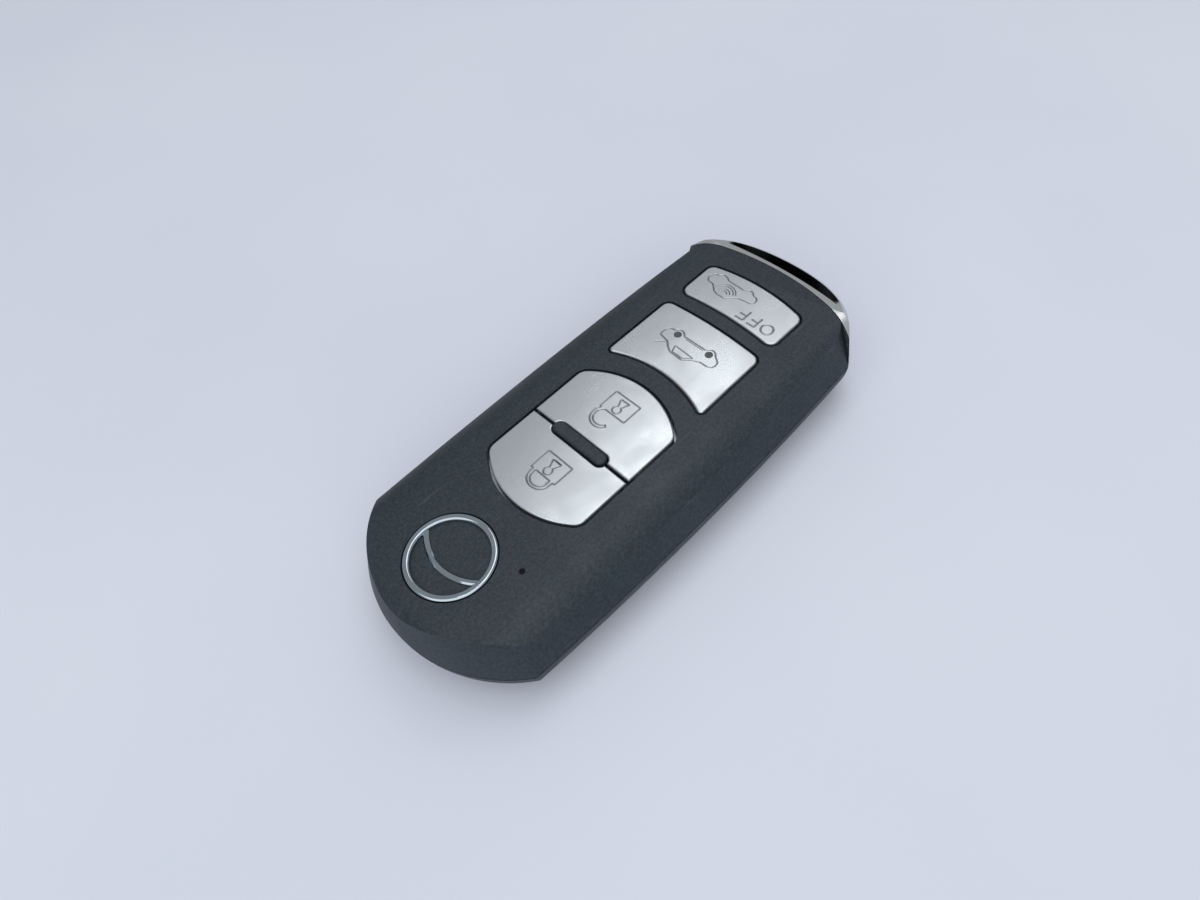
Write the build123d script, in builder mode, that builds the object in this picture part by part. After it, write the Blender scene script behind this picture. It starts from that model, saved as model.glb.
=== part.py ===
from build123d import *
import math
import os

# Car key fob with a pull-out auxiliary key
# Lies on its back: X runs from the blunt badge end to the key-ring end, Y across, Z up.
# The origin is the centre of the footprint on the surface it lies on. Millimetres, degrees.

# Outline of the fob, seen from above
fob_length = 84.2
waist_half_width = 18.4
waist_x = -10.0
heel_taper = 0.45
heel_depth = 8.9
nose_taper = 1.5
nose_depth = 9.2
heel_corner_radius = 0.9
nose_corner_radius = 3.0

# Heights of the casing
shell_height = 14.3
parting_height = 7.5
parting_gap = 0.2
wall = 1.45

# How the sides lean in above the parting line
side_lean = 21.5
heel_lean = 12.0
nose_lean = 4.0
bow_side_lean = 6.0

# How the belly draws in below the parting line, from the parting line down to the flat
belly_reach = 6.2
belly_level_shares = (0.0, 0.3, 0.55, 0.77, 0.92, 1.0)

# Crown of the top: a shallow arc across the keys, a tight shoulder, a rounded heel and nose
crown_radius = 220.0
shoulder_reach = 6.4
shoulder_radius = 7.0
shoulder_turn = 52.0
heel_round_start = 3.8
heel_round_radius = 3.3
heel_round_turn = 55.0
nose_round_start = 9.7
nose_round_radius = 16.0
nose_round_turn = 44.0

# Seam between the black casing and the silver bow
bow_depth = 5.2
seam_radius = 36.0
seam_gap = 0.15

# Overrun of every cut past the face it leaves
overrun = 1.0

# Keys, from the key-ring end towards the badge end
key_gap = 0.4
key_proud = 0.15
key_edge_radius = 0.28
key_travel = 0.5
key_wall = 1.1
key_top_thickness = 1.1
flange_width = 0.9
flange_thickness = 0.55
flange_drop = 0.5
collar_radius = 3.3

sensor_margin = 5.0
sensor_length = 7.8
sensor_half_width = 9.05
sensor_near_sag = 0.6
sensor_far_sag = 1.1
sensor_corner_radius = 1.4

trunk_bridge = 2.95
trunk_length = 11.45
trunk_near_half_width = 9.35
trunk_far_half_width = 9.2
trunk_near_sag = 2.2
trunk_far_sag = 0.4
trunk_near_corner_radius = 0.6
trunk_far_corner_radius = 1.3

pair_bridge = 3.8
unlock_length = 13.05
lock_length = 12.6
pair_half_width = 9.45
pair_end_radius = 14.0
pair_corner_radius = 2.0
pair_split = 0.45

# Rib that stands between the two lock keys, on a bar of the upper cover below them
rib_length = 10.1
rib_width = 1.9
rib_proud = 0.6
rib_gap = 0.2
rib_edge_radius = 0.35
bar_width = 2.2
bar_thickness = 1.1
bar_overlap = 0.15
bar_land = 1.6
bar_gap = 0.25

# Badge: a ring crossed by one arc on a plate, inlaid near the blunt end
badge_offset = 11.2
badge_diameter = 13.0
badge_gap = 0.15
badge_pocket = 0.9
badge_disc_thickness = 0.35
badge_ring_width = 1.0
badge_ring_proud = 0.15
badge_mark_drop = 0.1
badge_mark_width = 0.85
badge_arc_share = 0.65
badge_bevel_share = 0.25
badge_round_share = 0.35
badge_peg_diameter = 1.2
badge_peg_spacing = 8.0
badge_peg_length = 0.9
peg_hole_gap = 0.05

# Status lamp hole, its clear pin and the lamp under it
lamp_offset = 16.3
lamp_y = -8.7
lamp_hole_diameter = 0.8
lamp_hole_gap = 0.03
guide_shaft_diameter = 1.6
guide_flange_diameter = 2.6
guide_flange_thickness = 0.6
guide_gap = 0.2
guide_drop = 0.25
guide_recess = 0.2
lamp_length = 1.6
lamp_width = 0.8
lamp_height = 0.7

# Battery stack, from the floor of the lower cover up
battery_offset = 22.1
battery_diameter = 20.0
battery_thickness = 2.5
battery_edge_radius = 0.3
battery_can_step = 0.25
battery_can_rim = 1.2
battery_gap = 0.2
cap_floor_gap = 0.3
cap_thickness = 1.0
cap_spigot_height = 0.9
cap_slot_length = 9.0
cap_slot_width = 1.4
cap_slot_depth = 0.45
cap_edge_chamfer = 0.2
spigot_gap = 0.2
seal_thickness = 0.45
seal_width = 0.7
well_wall = 0.9
seat_gap = 0.05

# Module case that holds the circuit board
module_heel_gap = 8.1
module_nose_gap = 4.2
module_side_gap = 4.6
module_corner_radius = 4.0
module_plate = 0.6
module_wall = 0.9
module_gap = 0.15
module_skirt_wall = 1.4
module_cover_plate = 0.6
board_standoff = 0.3
board_thickness = 0.8
standoff_radius = 1.1
standoff_inset = 3.2
board_hole_offset = 3.4
board_hole_inset = 3.4
board_hole_diameter = 1.2
window_diameter = 15.0

# Tactile switches
switch_side = 4.2
switch_height = 1.5
switch_corner_radius = 0.3
switch_leg_length = 0.7
switch_leg_width = 0.6
switch_leg_thickness = 0.2
plunger_diameter = 1.8
plunger_proud = 0.45
plunger_depth = 0.8
plunger_gap = 0.06
plunger_chamfer = 0.15
plunger_travel = 0.25
press_gap = 0.3
post_diameter = 2.0
switch_window_diameter = 3.2
cover_gap = 0.2

# Silicone mat
mat_thickness = 0.5
mat_margin = 2.4
mat_nose_margin = 1.2
mat_side_gap = 1.8
mat_corner_radius = 3.0
mat_hole_diameter = 3.0
dome_base_diameter = 6.2
dome_top_diameter = 4.6
dome_wall = 0.7
holddown_diameter = 1.4
holddown_inset = 0.8

# Components on the board
control_side = 6.5
control_height = 0.9
control_y = 7.6
radio_side = 4.5
radio_height = 0.85
radio_y = -7.2
crystal_length = 3.2
crystal_width = 2.5
crystal_height = 0.7
crystal_y = -8.6
package_chamfer = 0.15
chip_length = 1.6
chip_width = 0.8
chip_height = 0.5
chip_pitch = 2.4
chip_count = 4
chip_row_y = 10.6

# Receiving coil below the board, in a pocket of the module base
coil_side = 8.6
coil_height = 3.0
coil_flange = 0.6
coil_hub = 3.6
coil_y = -7.0
winding_drop = 0.35
pocket_gap = 0.5
pocket_wall = 0.8
pocket_depth = 3.0

# Battery contacts, bent from strip
contact_thickness = 0.2
contact_width = 2.6
contact_gap = 0.05
contact_foot = 2.4
contact_drop = 2.6
contact_spring_run = 4.5
contact_tip = 1.2
contact_notch_gap = 0.25

# Auxiliary key: blade, holder block on the bow, cross pin
key_side_gap = 10.7
block_width = 9.4
block_height = 3.5
block_length = 7.4
block_floor_gap = 1.05
block_edge_radius = 0.4
blade_width = 7.6
blade_thickness = 2.0
blade_length = 42.0
blade_root = 5.4
blade_fit = 0.03
blade_groove_width = 1.7
blade_groove_depth = 0.5
blade_groove_end = 6.0
blade_tip_length = 3.0
blade_tip_width = 2.6
blade_cut_start = 5.5
blade_cut_length = 27.0
blade_cut_depth = 1.5
blade_cut_shares = (
    (0.0, 0.0),
    (0.05, 0.6),
    (0.16, 0.6),
    (0.21, 0.2),
    (0.3, 0.2),
    (0.37, 1.0),
    (0.48, 1.0),
    (0.55, 0.4),
    (0.63, 0.4),
    (0.7, 0.8),
    (0.8, 0.8),
    (0.87, 0.3),
    (0.95, 0.3),
    (1.0, 0.0),
)
pin_diameter = 1.6
pin_gap = 0.03
pin_inset = 0.15
pin_from_seam = 3.6
channel_gap = 0.3
channel_wall = 1.0
channel_top_gap = 0.15
key_clear = 0.6
latch_notch_length = 2.6
latch_notch_depth = 1.0
latch_notch_from_seam = 4.2

# Key-ring slot through the bow
slot_end_margin = 6.7
slot_near = 4.2
slot_near_sag = 0.9
slot_far = 1.2
slot_far_sag = 2.9
slot_end_radius = 0.25
bow_edge_bevel = 0.6

# Release knob on the back, its spring and the opening for it
knob_from_seam = 9.9
knob_key_spacing = 10.3
knob_length = 8.6
knob_width = 6.4
knob_corner_radius = 1.2
knob_gap = 0.2
knob_recess = 0.35
knob_flange = 1.2
knob_flange_thickness = 0.8
knob_flange_gap = 0.1
knob_rib_count = 4
knob_rib_pitch = 1.5
knob_rib_width = 0.6
knob_rib_height = 0.2
knob_nub_diameter = 2.0
knob_nub_height = 0.9
latch_gap = 0.15
latch_length = 2.0
latch_rise = 1.9
spring_diameter = 3.6
spring_wire = 0.4
spring_gap = 0.05

# Inner lip of the lower cover and the ledge it stands on
lip_height = 1.0
lip_thickness = 0.8
lip_gap = 0.1
ledge_depth = 1.4
lip_end = 4.6

# Ribs of the lower cover that carry the module
rest_diameter = 2.2
rest_inset = 2.3
rest_spacing = 18.0
rest_nose_gap = 7.0

# Places worked out from the sizes above
heel_x = -fob_length / 2
nose_x = fob_length / 2
seam_x = nose_x - bow_depth
top_level = shell_height - wall

heel_half_width = waist_half_width - heel_taper
nose_half_width = waist_half_width - nose_taper
crown_half_width = waist_half_width - shoulder_reach
module_half_width = waist_half_width - module_side_gap
mat_half_width = module_half_width - mat_side_gap
holddown_y = mat_half_width - holddown_inset
board_hole_y = module_half_width - board_hole_inset
rest_y = module_half_width - rest_inset
key_y = waist_half_width - key_side_gap
knob_y = key_y - knob_key_spacing
knob_x = seam_x - knob_from_seam
slot_half_length = nose_half_width - slot_end_margin

sensor_far_x = seam_x - sensor_margin
sensor_near_x = sensor_far_x - sensor_length
trunk_far_x = sensor_near_x - trunk_bridge
trunk_near_x = trunk_far_x - trunk_length
unlock_far_x = trunk_near_x - pair_bridge
split_x = unlock_far_x - unlock_length
lock_far_x = split_x - lock_length

sensor_key_x = (sensor_far_x + sensor_near_x) / 2
trunk_key_x = (trunk_far_x + trunk_near_x) / 2
unlock_key_x = (unlock_far_x + split_x) / 2
lock_key_x = (lock_far_x + split_x) / 2

control_x = (unlock_far_x + trunk_near_x) / 2
radio_x = control_x
coil_x = control_x
badge_x = heel_x + badge_offset
lamp_x = heel_x + lamp_offset
battery_x = heel_x + battery_offset

cap_level = wall + cap_floor_gap
seal_level = cap_level + cap_thickness + seat_gap
well_level = seal_level + seal_thickness + seat_gap
battery_level = cap_level + cap_thickness + cap_spigot_height + seat_gap
module_level = battery_level + battery_thickness + seat_gap
board_level = module_level + module_plate + board_standoff
board_top = board_level + board_thickness
switch_top = board_top + switch_height
cover_level = switch_top + cover_gap
cover_top = cover_level + module_cover_plate
mat_level = cover_top + seat_gap
mat_top = mat_level + mat_thickness
flange_level = top_level - flange_drop - flange_thickness
post_level = switch_top + plunger_proud + press_gap
well_radius = battery_diameter / 2 + battery_gap
bar_level = top_level + bar_overlap - bar_thickness
bar_clear_level = bar_level + bar_thickness + key_travel + bar_gap

block_level = wall + block_floor_gap
block_top = block_level + block_height
blade_level = block_level + (block_height - blade_thickness) / 2
blade_root_x = seam_x - pin_from_seam + blade_root / 2
blade_tip_x = blade_root_x - blade_length

os.makedirs("parts", exist_ok=True)


# Outline of the whole fob at one level, drawn in at its sides, heel and nose
def fob_outline(level, side_inset, heel_inset, nose_inset):
    heel = heel_x + heel_inset
    nose = nose_x - nose_inset
    heel_y = heel_half_width - side_inset
    nose_y = nose_half_width - side_inset
    with BuildSketch(Plane.XY.offset(level)) as outline:
        with BuildLine():
            ThreePointArc((heel + heel_depth, heel_y), (heel, 0), (heel + heel_depth, -heel_y))
            ThreePointArc(
                (heel + heel_depth, -heel_y),
                (waist_x, side_inset - waist_half_width),
                (nose - nose_depth, -nose_y),
            )
            ThreePointArc((nose - nose_depth, -nose_y), (nose, 0), (nose - nose_depth, nose_y))
            ThreePointArc(
                (nose - nose_depth, nose_y),
                (waist_x, waist_half_width - side_inset),
                (heel + heel_depth, heel_y),
            )
        make_face()
        fillet(outline.vertices().group_by(Axis.X)[0], heel_corner_radius)
        fillet(outline.vertices().group_by(Axis.X)[-1], nose_corner_radius)
    return outline.sketch


# Section across the fob, the same all along: crown, shoulders, then straight down
def section_across(inset):
    crown_turn = math.degrees(math.asin(crown_half_width / crown_radius))
    side_run = waist_half_width
    with BuildSketch(Plane.YZ) as section:
        with BuildLine():
            crown = JernArc((0, shell_height - inset), (1, 0), crown_radius - inset, -crown_turn)
            shoulder = JernArc(crown @ 1, crown % 1, shoulder_radius - inset, -shoulder_turn)
            skirt = Line(shoulder @ 1, shoulder @ 1 + (shoulder % 1) * side_run)
            Polyline(
                skirt @ 1,
                ((skirt @ 1).X, -shell_height),
                (0, -shell_height),
                (0, shell_height - inset),
            )
        make_face()
        mirror(about=Plane.YZ)
    return section.sketch


# Section along the fob: rounded heel, flat top, nose rounded off above and below
def section_along(inset):
    low = inset
    high = shell_height - inset
    heel_start = heel_x + heel_round_start
    nose_start = nose_x - nose_round_start
    run = shell_height / 2
    with BuildSketch(Plane.XZ) as section:
        with BuildLine():
            top = Line((heel_start, high), (nose_start, high))
            heel = JernArc(top @ 0, (-1, 0), heel_round_radius - inset, heel_round_turn)
            skirt = Line(heel @ 1, heel @ 1 + (heel % 1) * run)
            nose = JernArc(top @ 1, (1, 0), nose_round_radius - inset, -nose_round_turn)
            chin = JernArc((nose_start, low), (1, 0), nose_round_radius - inset, nose_round_turn)
            Line(nose @ 1, chin @ 1)
            Polyline(
                (nose_start, low),
                (nose_start, low - overrun),
                ((skirt @ 1).X, low - overrun),
                skirt @ 1,
            )
        make_face()
    return section.sketch


# Closed form of the whole fob, drawn in by an even wall, its sides leaning in above the parting
def fob_form(inset, lean):
    rise = shell_height + overrun - parting_height
    drop = parting_height - inset
    with BuildPart() as form:
        loft(
            sections=[
                fob_outline(parting_height, inset, inset, inset),
                fob_outline(
                    shell_height + overrun,
                    inset + rise * math.tan(math.radians(lean)),
                    inset + rise * math.tan(math.radians(heel_lean)),
                    inset + rise * math.tan(math.radians(nose_lean)),
                ),
            ],
            ruled=True,
        )
        belly = []
        for share in belly_level_shares:
            draw = inset + belly_reach * (1 - math.sqrt(1 - share**2))
            belly.append(fob_outline(parting_height - drop * share, draw, draw, inset))
        loft(sections=belly)
        extrude(section_across(inset), amount=fob_length, both=True, mode=Mode.INTERSECT)
        extrude(section_along(inset), amount=fob_length, both=True, mode=Mode.INTERSECT)
    return form.part


# Space beyond the seam arc at the key-ring end
def nose_space(setback):
    reach = waist_half_width + overrun
    sag = seam_radius - math.sqrt(seam_radius**2 - reach**2)
    edge = seam_x + setback
    far = nose_x + bow_depth
    with BuildPart() as space:
        with BuildSketch():
            with BuildLine():
                ThreePointArc((edge - sag, -reach), (edge, 0), (edge - sag, reach))
                Polyline((edge - sag, reach), (far, reach), (far, -reach), (edge - sag, -reach))
            make_face()
        extrude(amount=2 * shell_height, both=True)
    return space.part


# Rectangular block of space between two corners
def space_box(low_corner, high_corner):
    with BuildPart() as space:
        with BuildSketch(Plane.XY.offset(low_corner[2])):
            with Locations(
                ((low_corner[0] + high_corner[0]) / 2, (low_corner[1] + high_corner[1]) / 2)
            ):
                Rectangle(high_corner[0] - low_corner[0], high_corner[1] - low_corner[1])
        extrude(amount=high_corner[2] - low_corner[2])
    return space.part


# Upright round rod or disc
def rod(x, y, low, high, diameter):
    with BuildPart() as piece:
        with BuildSketch(Plane.XY.offset(low)):
            with Locations((x, y)):
                Circle(diameter / 2)
        extrude(amount=high - low)
    return piece.part


# Outlines of the keys, grown outwards by an even margin
def pair_outline(level, margin):
    end_sag = pair_end_radius - math.sqrt(pair_end_radius**2 - pair_half_width**2)
    with BuildSketch(Plane.XY.offset(level)) as outline:
        with BuildLine():
            far_side = ThreePointArc(
                (unlock_far_x - end_sag, -pair_half_width),
                (unlock_far_x, 0),
                (unlock_far_x - end_sag, pair_half_width),
            )
            near_side = ThreePointArc(
                (lock_far_x + end_sag, pair_half_width),
                (lock_far_x, 0),
                (lock_far_x + end_sag, -pair_half_width),
            )
            Line(far_side @ 1, near_side @ 0)
            Line(near_side @ 1, far_side @ 0)
        make_face()
        fillet(outline.vertices(), pair_corner_radius)
        offset(amount=margin, kind=Kind.ARC)
    return outline.sketch


def trunk_outline(level, margin):
    near_x = trunk_near_x - trunk_near_sag
    far_x = trunk_far_x - trunk_far_sag
    with BuildSketch(Plane.XY.offset(level)) as outline:
        with BuildLine():
            near_side = ThreePointArc(
                (near_x, trunk_near_half_width), (trunk_near_x, 0), (near_x, -trunk_near_half_width)
            )
            far_side = ThreePointArc(
                (far_x, -trunk_far_half_width), (trunk_far_x, 0), (far_x, trunk_far_half_width)
            )
            Line(near_side @ 1, far_side @ 0)
            Line(far_side @ 1, near_side @ 0)
        make_face()
        fillet(outline.vertices().group_by(Axis.X)[0], trunk_near_corner_radius)
        fillet(outline.vertices().group_by(Axis.X)[-1], trunk_far_corner_radius)
        offset(amount=margin, kind=Kind.ARC)
    return outline.sketch


def sensor_outline(level, margin):
    near_x = sensor_near_x - sensor_near_sag
    far_x = sensor_far_x - sensor_far_sag
    with BuildSketch(Plane.XY.offset(level)) as outline:
        with BuildLine():
            near_side = ThreePointArc(
                (near_x, sensor_half_width), (sensor_near_x, 0), (near_x, -sensor_half_width)
            )
            far_side = ThreePointArc(
                (far_x, -sensor_half_width), (sensor_far_x, 0), (far_x, sensor_half_width)
            )
            Line(near_side @ 1, far_side @ 0)
            Line(far_side @ 1, near_side @ 0)
        make_face()
        fillet(outline.vertices(), sensor_corner_radius)
        offset(amount=margin, kind=Kind.ARC)
    return outline.sketch


# One half of the lock pair, on the badge side or the ring side of the dividing cut
def pair_half_outline(level, margin, side):
    reach = lock_length + unlock_length
    with BuildSketch(Plane.XY.offset(level)) as outline:
        add(pair_outline(level, margin))
        with Locations((split_x - side * (reach - pair_split / 2), 0)):
            Rectangle(2 * reach, 2 * reach, mode=Mode.SUBTRACT)
        with Locations((split_x, 0)):
            SlotOverall(
                rib_length + 2 * rib_gap,
                rib_width + 2 * rib_gap,
                rotation=90,
                mode=Mode.SUBTRACT,
            )
    return outline.sketch


def lock_outline(level, margin):
    return pair_half_outline(level, margin, -1)


def unlock_outline(level, margin):
    return pair_half_outline(level, margin, 1)


# Edges that bound the top faces of a piece, without those between two top faces
def top_rim(piece, level):
    tops = piece.faces().filter_by(lambda face: face.center().Z > level and face.normal_at().Z > 0)
    edges = [edge for face in tops for edge in face.edges()]
    return [edge for edge in edges if sum(edge.is_same(other) for other in edges) == 1]


# Keycap: crowned top, hollow below, with a flange that holds it in and a post on the switch
def keycap(outline, post_x):
    cap_floor = shell_height - key_top_thickness
    with BuildPart() as cap:
        extrude(outline(flange_level, 0), amount=shell_height)
        extrude(section_across(-key_proud), amount=fob_length, both=True, mode=Mode.INTERSECT)
        extrude(section_along(-key_proud), amount=fob_length, both=True, mode=Mode.INTERSECT)
        fillet(top_rim(cap, cap_floor), key_edge_radius)
        extrude(outline(flange_level, flange_width), amount=flange_thickness)
        extrude(outline(flange_level, -key_wall), amount=cap_floor - flange_level, mode=Mode.SUBTRACT)
        add(rod(post_x, 0, flange_level, cap_floor + seat_gap, 2 * collar_radius))
        add(rod(post_x, 0, post_level, flange_level + seat_gap, post_diameter))
        add(
            space_box(
                (split_x - bar_width / 2 - bar_gap, -waist_half_width, 0),
                (split_x + bar_width / 2 + bar_gap, waist_half_width, bar_clear_level),
            ),
            mode=Mode.SUBTRACT,
        )
    return cap.part


# Switch places along the board, one under each key
key_places = {
    "lock": lock_key_x,
    "unlock": unlock_key_x,
    "trunk": trunk_key_x,
    "sensor": sensor_key_x,
}
key_outlines = {
    "lock": lock_outline,
    "unlock": unlock_outline,
    "trunk": trunk_outline,
    "sensor": sensor_outline,
}

outer_form = fob_form(0, side_lean)

# Space inside the casing, closed by the end wall beside the bow
with BuildPart() as casing_room:
    add(fob_form(wall, side_lean))
    add(nose_space(-wall), mode=Mode.SUBTRACT)

# Rib between the two lock keys, with its top edge rounded
with BuildPart() as pair_rib:
    with BuildSketch(Plane.XY.offset(bar_level)):
        with Locations((split_x, 0)):
            SlotOverall(rib_length, rib_width, rotation=90)
    extrude(amount=shell_height + rib_proud - bar_level)
    fillet(pair_rib.faces().sort_by(Axis.Z)[-1].edges(), rib_edge_radius)

# Upper cover: keys' openings, badge pocket, lamp hole, bar and rib, posts that hold the mat down
with BuildPart() as upper_shell:
    add(outer_form)
    split(bisect_by=Plane.XY.offset(parting_height), keep=Keep.TOP)
    add(nose_space(0), mode=Mode.SUBTRACT)
    add(casing_room.part, mode=Mode.SUBTRACT)
    for opening in (pair_outline, trunk_outline, sensor_outline):
        extrude(opening(flange_level, key_gap), amount=shell_height, mode=Mode.SUBTRACT)
    with BuildSketch(Plane.XY.offset(shell_height - badge_pocket)):
        with Locations((badge_x, 0)):
            Circle(badge_diameter / 2 + badge_gap)
    extrude(amount=badge_pocket + overrun, mode=Mode.SUBTRACT)
    with BuildSketch(Plane.XY.offset(top_level - overrun)):
        for side in (-1, 1):
            with Locations((badge_x, side * badge_peg_spacing / 2)):
                Circle(badge_peg_diameter / 2 + peg_hole_gap)
        with Locations((lamp_x, lamp_y)):
            Circle(lamp_hole_diameter / 2 + lamp_hole_gap)
    extrude(amount=wall + 2 * overrun, mode=Mode.SUBTRACT)
    bar_half_length = pair_half_width + key_gap + bar_land
    add(
        space_box(
            (split_x - bar_width / 2, -bar_half_length, bar_level),
            (split_x + bar_width / 2, bar_half_length, bar_level + bar_thickness),
        )
    )
    add(pair_rib.part)
    with BuildSketch(Plane.XY.offset(mat_top + seat_gap)):
        for post_x in (split_x, (unlock_far_x + trunk_near_x) / 2, (trunk_far_x + sensor_near_x) / 2):
            for side in (-1, 1):
                with Locations((post_x, side * holddown_y)):
                    Circle(holddown_diameter / 2)
    extrude(amount=top_level - mat_top)
upper_shell.part.label = "upper_shell"
export_step(upper_shell.part, "parts/upper_shell.step")

# Badge plate: black disc in the pocket, with two pegs through the cover
badge_floor = shell_height - badge_pocket
plate_top = badge_floor + badge_disc_thickness
with BuildPart() as badge_plate:
    add(rod(badge_x, 0, badge_floor, plate_top, badge_diameter))
    for side in (-1, 1):
        add(
            rod(
                badge_x,
                side * badge_peg_spacing / 2,
                badge_floor - badge_peg_length,
                badge_floor,
                badge_peg_diameter,
            )
        )
badge_plate.part.label = "badge_plate"
export_step(badge_plate.part, "parts/badge_plate.step")

# Chrome badge on the plate: a ring crossed by one bevelled arc about its near side
mark_top = shell_height - badge_mark_drop
mark_x = badge_x + badge_diameter / 2
arc_radius = badge_arc_share * badge_diameter
with BuildPart() as badge_arc:
    with BuildSketch(Plane.XY.offset(plate_top)):
        with Locations((mark_x, 0)):
            Circle(arc_radius + badge_mark_width / 2)
            Circle(arc_radius - badge_mark_width / 2, mode=Mode.SUBTRACT)
    extrude(amount=mark_top - plate_top)
    chamfer(badge_arc.edges().group_by(Axis.Z)[-1], badge_mark_width * badge_bevel_share)
    add(
        rod(badge_x, 0, plate_top, mark_top, badge_diameter - badge_ring_width),
        mode=Mode.INTERSECT,
    )

with BuildPart() as badge:
    with BuildSketch(Plane.XY.offset(plate_top)):
        with Locations((badge_x, 0)):
            Circle(badge_diameter / 2)
            Circle(badge_diameter / 2 - badge_ring_width, mode=Mode.SUBTRACT)
    extrude(amount=shell_height + badge_ring_proud - plate_top)
    fillet(badge.edges().group_by(Axis.Z)[-1], badge_ring_width * badge_round_share)
    add(badge_arc.part)
badge.part.label = "emblem"
export_step(badge.part, "parts/emblem.step")

# Light guide: pin in the lamp hole, flange below the cover, shaft down to the lamp
guide_flange_level = top_level - guide_drop - guide_flange_thickness
with BuildPart() as light_guide:
    add(
        rod(
            lamp_x,
            lamp_y,
            board_top + lamp_height + guide_gap,
            guide_flange_level,
            guide_shaft_diameter,
        )
    )
    add(
        rod(
            lamp_x,
            lamp_y,
            guide_flange_level,
            guide_flange_level + guide_flange_thickness,
            guide_flange_diameter,
        )
    )
    add(rod(lamp_x, lamp_y, guide_flange_level, shell_height - guide_recess, lamp_hole_diameter))
light_guide.part.label = "light_guide"
export_step(light_guide.part, "parts/light_guide.step")

# Keycaps
for key, place in key_places.items():
    with BuildPart() as button:
        add(keycap(key_outlines[key], place))
    button.part.label = key + "_button"
    export_step(button.part, "parts/" + key + "_button.step")

# Silicone mat below the keys, with a hole for each post
mat_start = lock_far_x - mat_margin
mat_end = sensor_far_x + mat_nose_margin
with BuildPart() as keypad_mat:
    with BuildSketch(Plane.XY.offset(mat_level)):
        with Locations(((mat_start + mat_end) / 2, 0)):
            RectangleRounded(mat_end - mat_start, 2 * mat_half_width, mat_corner_radius)
        for place in key_places.values():
            with Locations((place, 0)):
                Circle(mat_hole_diameter / 2, mode=Mode.SUBTRACT)
    extrude(amount=mat_thickness)
keypad_mat.part.label = "keypad_mat"
export_step(keypad_mat.part, "parts/keypad_mat.step")

# Domes of the mat: hollow cones that spring the keys back up
dome_base = dome_base_diameter / 2
dome_top = dome_top_diameter / 2
for key, place in key_places.items():
    with BuildPart() as dome:
        with BuildSketch(Plane.XZ):
            with BuildLine():
                Polyline(
                    (place + dome_base, mat_top),
                    (place + dome_top, flange_level - seat_gap),
                    (place + dome_top - dome_wall, flange_level - seat_gap),
                    (place + dome_base - dome_wall, mat_top),
                    close=True,
                )
            make_face()
        revolve(axis=Axis((place, 0, 0), (0, 0, 1)))
    dome.part.label = key + "_dome"
    export_step(dome.part, "parts/" + key + "_dome.step")


# Rounded outline of the module case, drawn in by an even wall
def module_outline(level, inset):
    heel = heel_x + module_heel_gap + inset
    nose = seam_x - module_nose_gap - inset
    with BuildSketch(Plane.XY.offset(level)) as outline:
        with Locations(((heel + nose) / 2, 0)):
            RectangleRounded(
                nose - heel, 2 * (module_half_width - inset), module_corner_radius - inset
            )
    return outline.sketch


# Module cover: plate with a window over each switch, skirt down to the board
with BuildPart() as module_cover:
    extrude(module_outline(board_top + seat_gap, 0), amount=cover_top - board_top - seat_gap)
    extrude(
        module_outline(board_top, module_skirt_wall),
        amount=cover_level - board_top,
        mode=Mode.SUBTRACT,
    )
    with BuildSketch(Plane.XY.offset(cover_level)):
        for place in key_places.values():
            with Locations((place, 0)):
                Circle(switch_window_diameter / 2)
        with Locations((lamp_x, lamp_y)):
            Circle(guide_shaft_diameter / 2 + guide_gap)
    extrude(amount=module_cover_plate + overrun, mode=Mode.SUBTRACT)
module_cover.part.label = "module_cover"
export_step(module_cover.part, "parts/module_cover.step")

# Module base: plate and rim round the board, battery well, pocket for the receiving coil
contact_x = battery_x - battery_diameter / 2 - contact_gap
pocket_level = module_level - pocket_depth
pocket_half = coil_side / 2 + pocket_gap
with BuildPart() as module_base:
    extrude(module_outline(module_level, 0), amount=board_top - module_level)
    extrude(
        module_outline(module_level + module_plate, module_wall),
        amount=board_top,
        mode=Mode.SUBTRACT,
    )
    add(rod(battery_x, 0, well_level, module_level + seat_gap, 2 * (well_radius + well_wall)))
    add(rod(battery_x, 0, well_level, module_level, 2 * well_radius), mode=Mode.SUBTRACT)
    add(
        rod(battery_x, 0, module_level, module_level + module_plate, window_diameter),
        mode=Mode.SUBTRACT,
    )
    add(
        space_box(
            (
                contact_x - contact_thickness - contact_notch_gap,
                -contact_width / 2 - contact_notch_gap,
                battery_level,
            ),
            (
                battery_x - window_diameter / 2 + overrun,
                contact_width / 2 + contact_notch_gap,
                board_level,
            ),
        ),
        mode=Mode.SUBTRACT,
    )
    add(
        space_box(
            (coil_x - pocket_half - pocket_wall, coil_y - pocket_half - pocket_wall, pocket_level),
            (coil_x + pocket_half + pocket_wall, coil_y + pocket_half + pocket_wall, module_level),
        )
    )
    add(
        space_box(
            (coil_x - pocket_half, coil_y - pocket_half, pocket_level + pocket_wall),
            (coil_x + pocket_half, coil_y + pocket_half, board_level),
        ),
        mode=Mode.SUBTRACT,
    )
    with BuildSketch(Plane.XY.offset(module_level + module_plate)):
        for stand_x in (heel_x + module_heel_gap + standoff_inset, seam_x - module_nose_gap - standoff_inset):
            for side in (-1, 1):
                with Locations((stand_x, side * (module_half_width - standoff_inset))):
                    Circle(standoff_radius)
    extrude(amount=board_standoff)
module_base.part.label = "module_base"
export_step(module_base.part, "parts/module_base.step")

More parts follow.
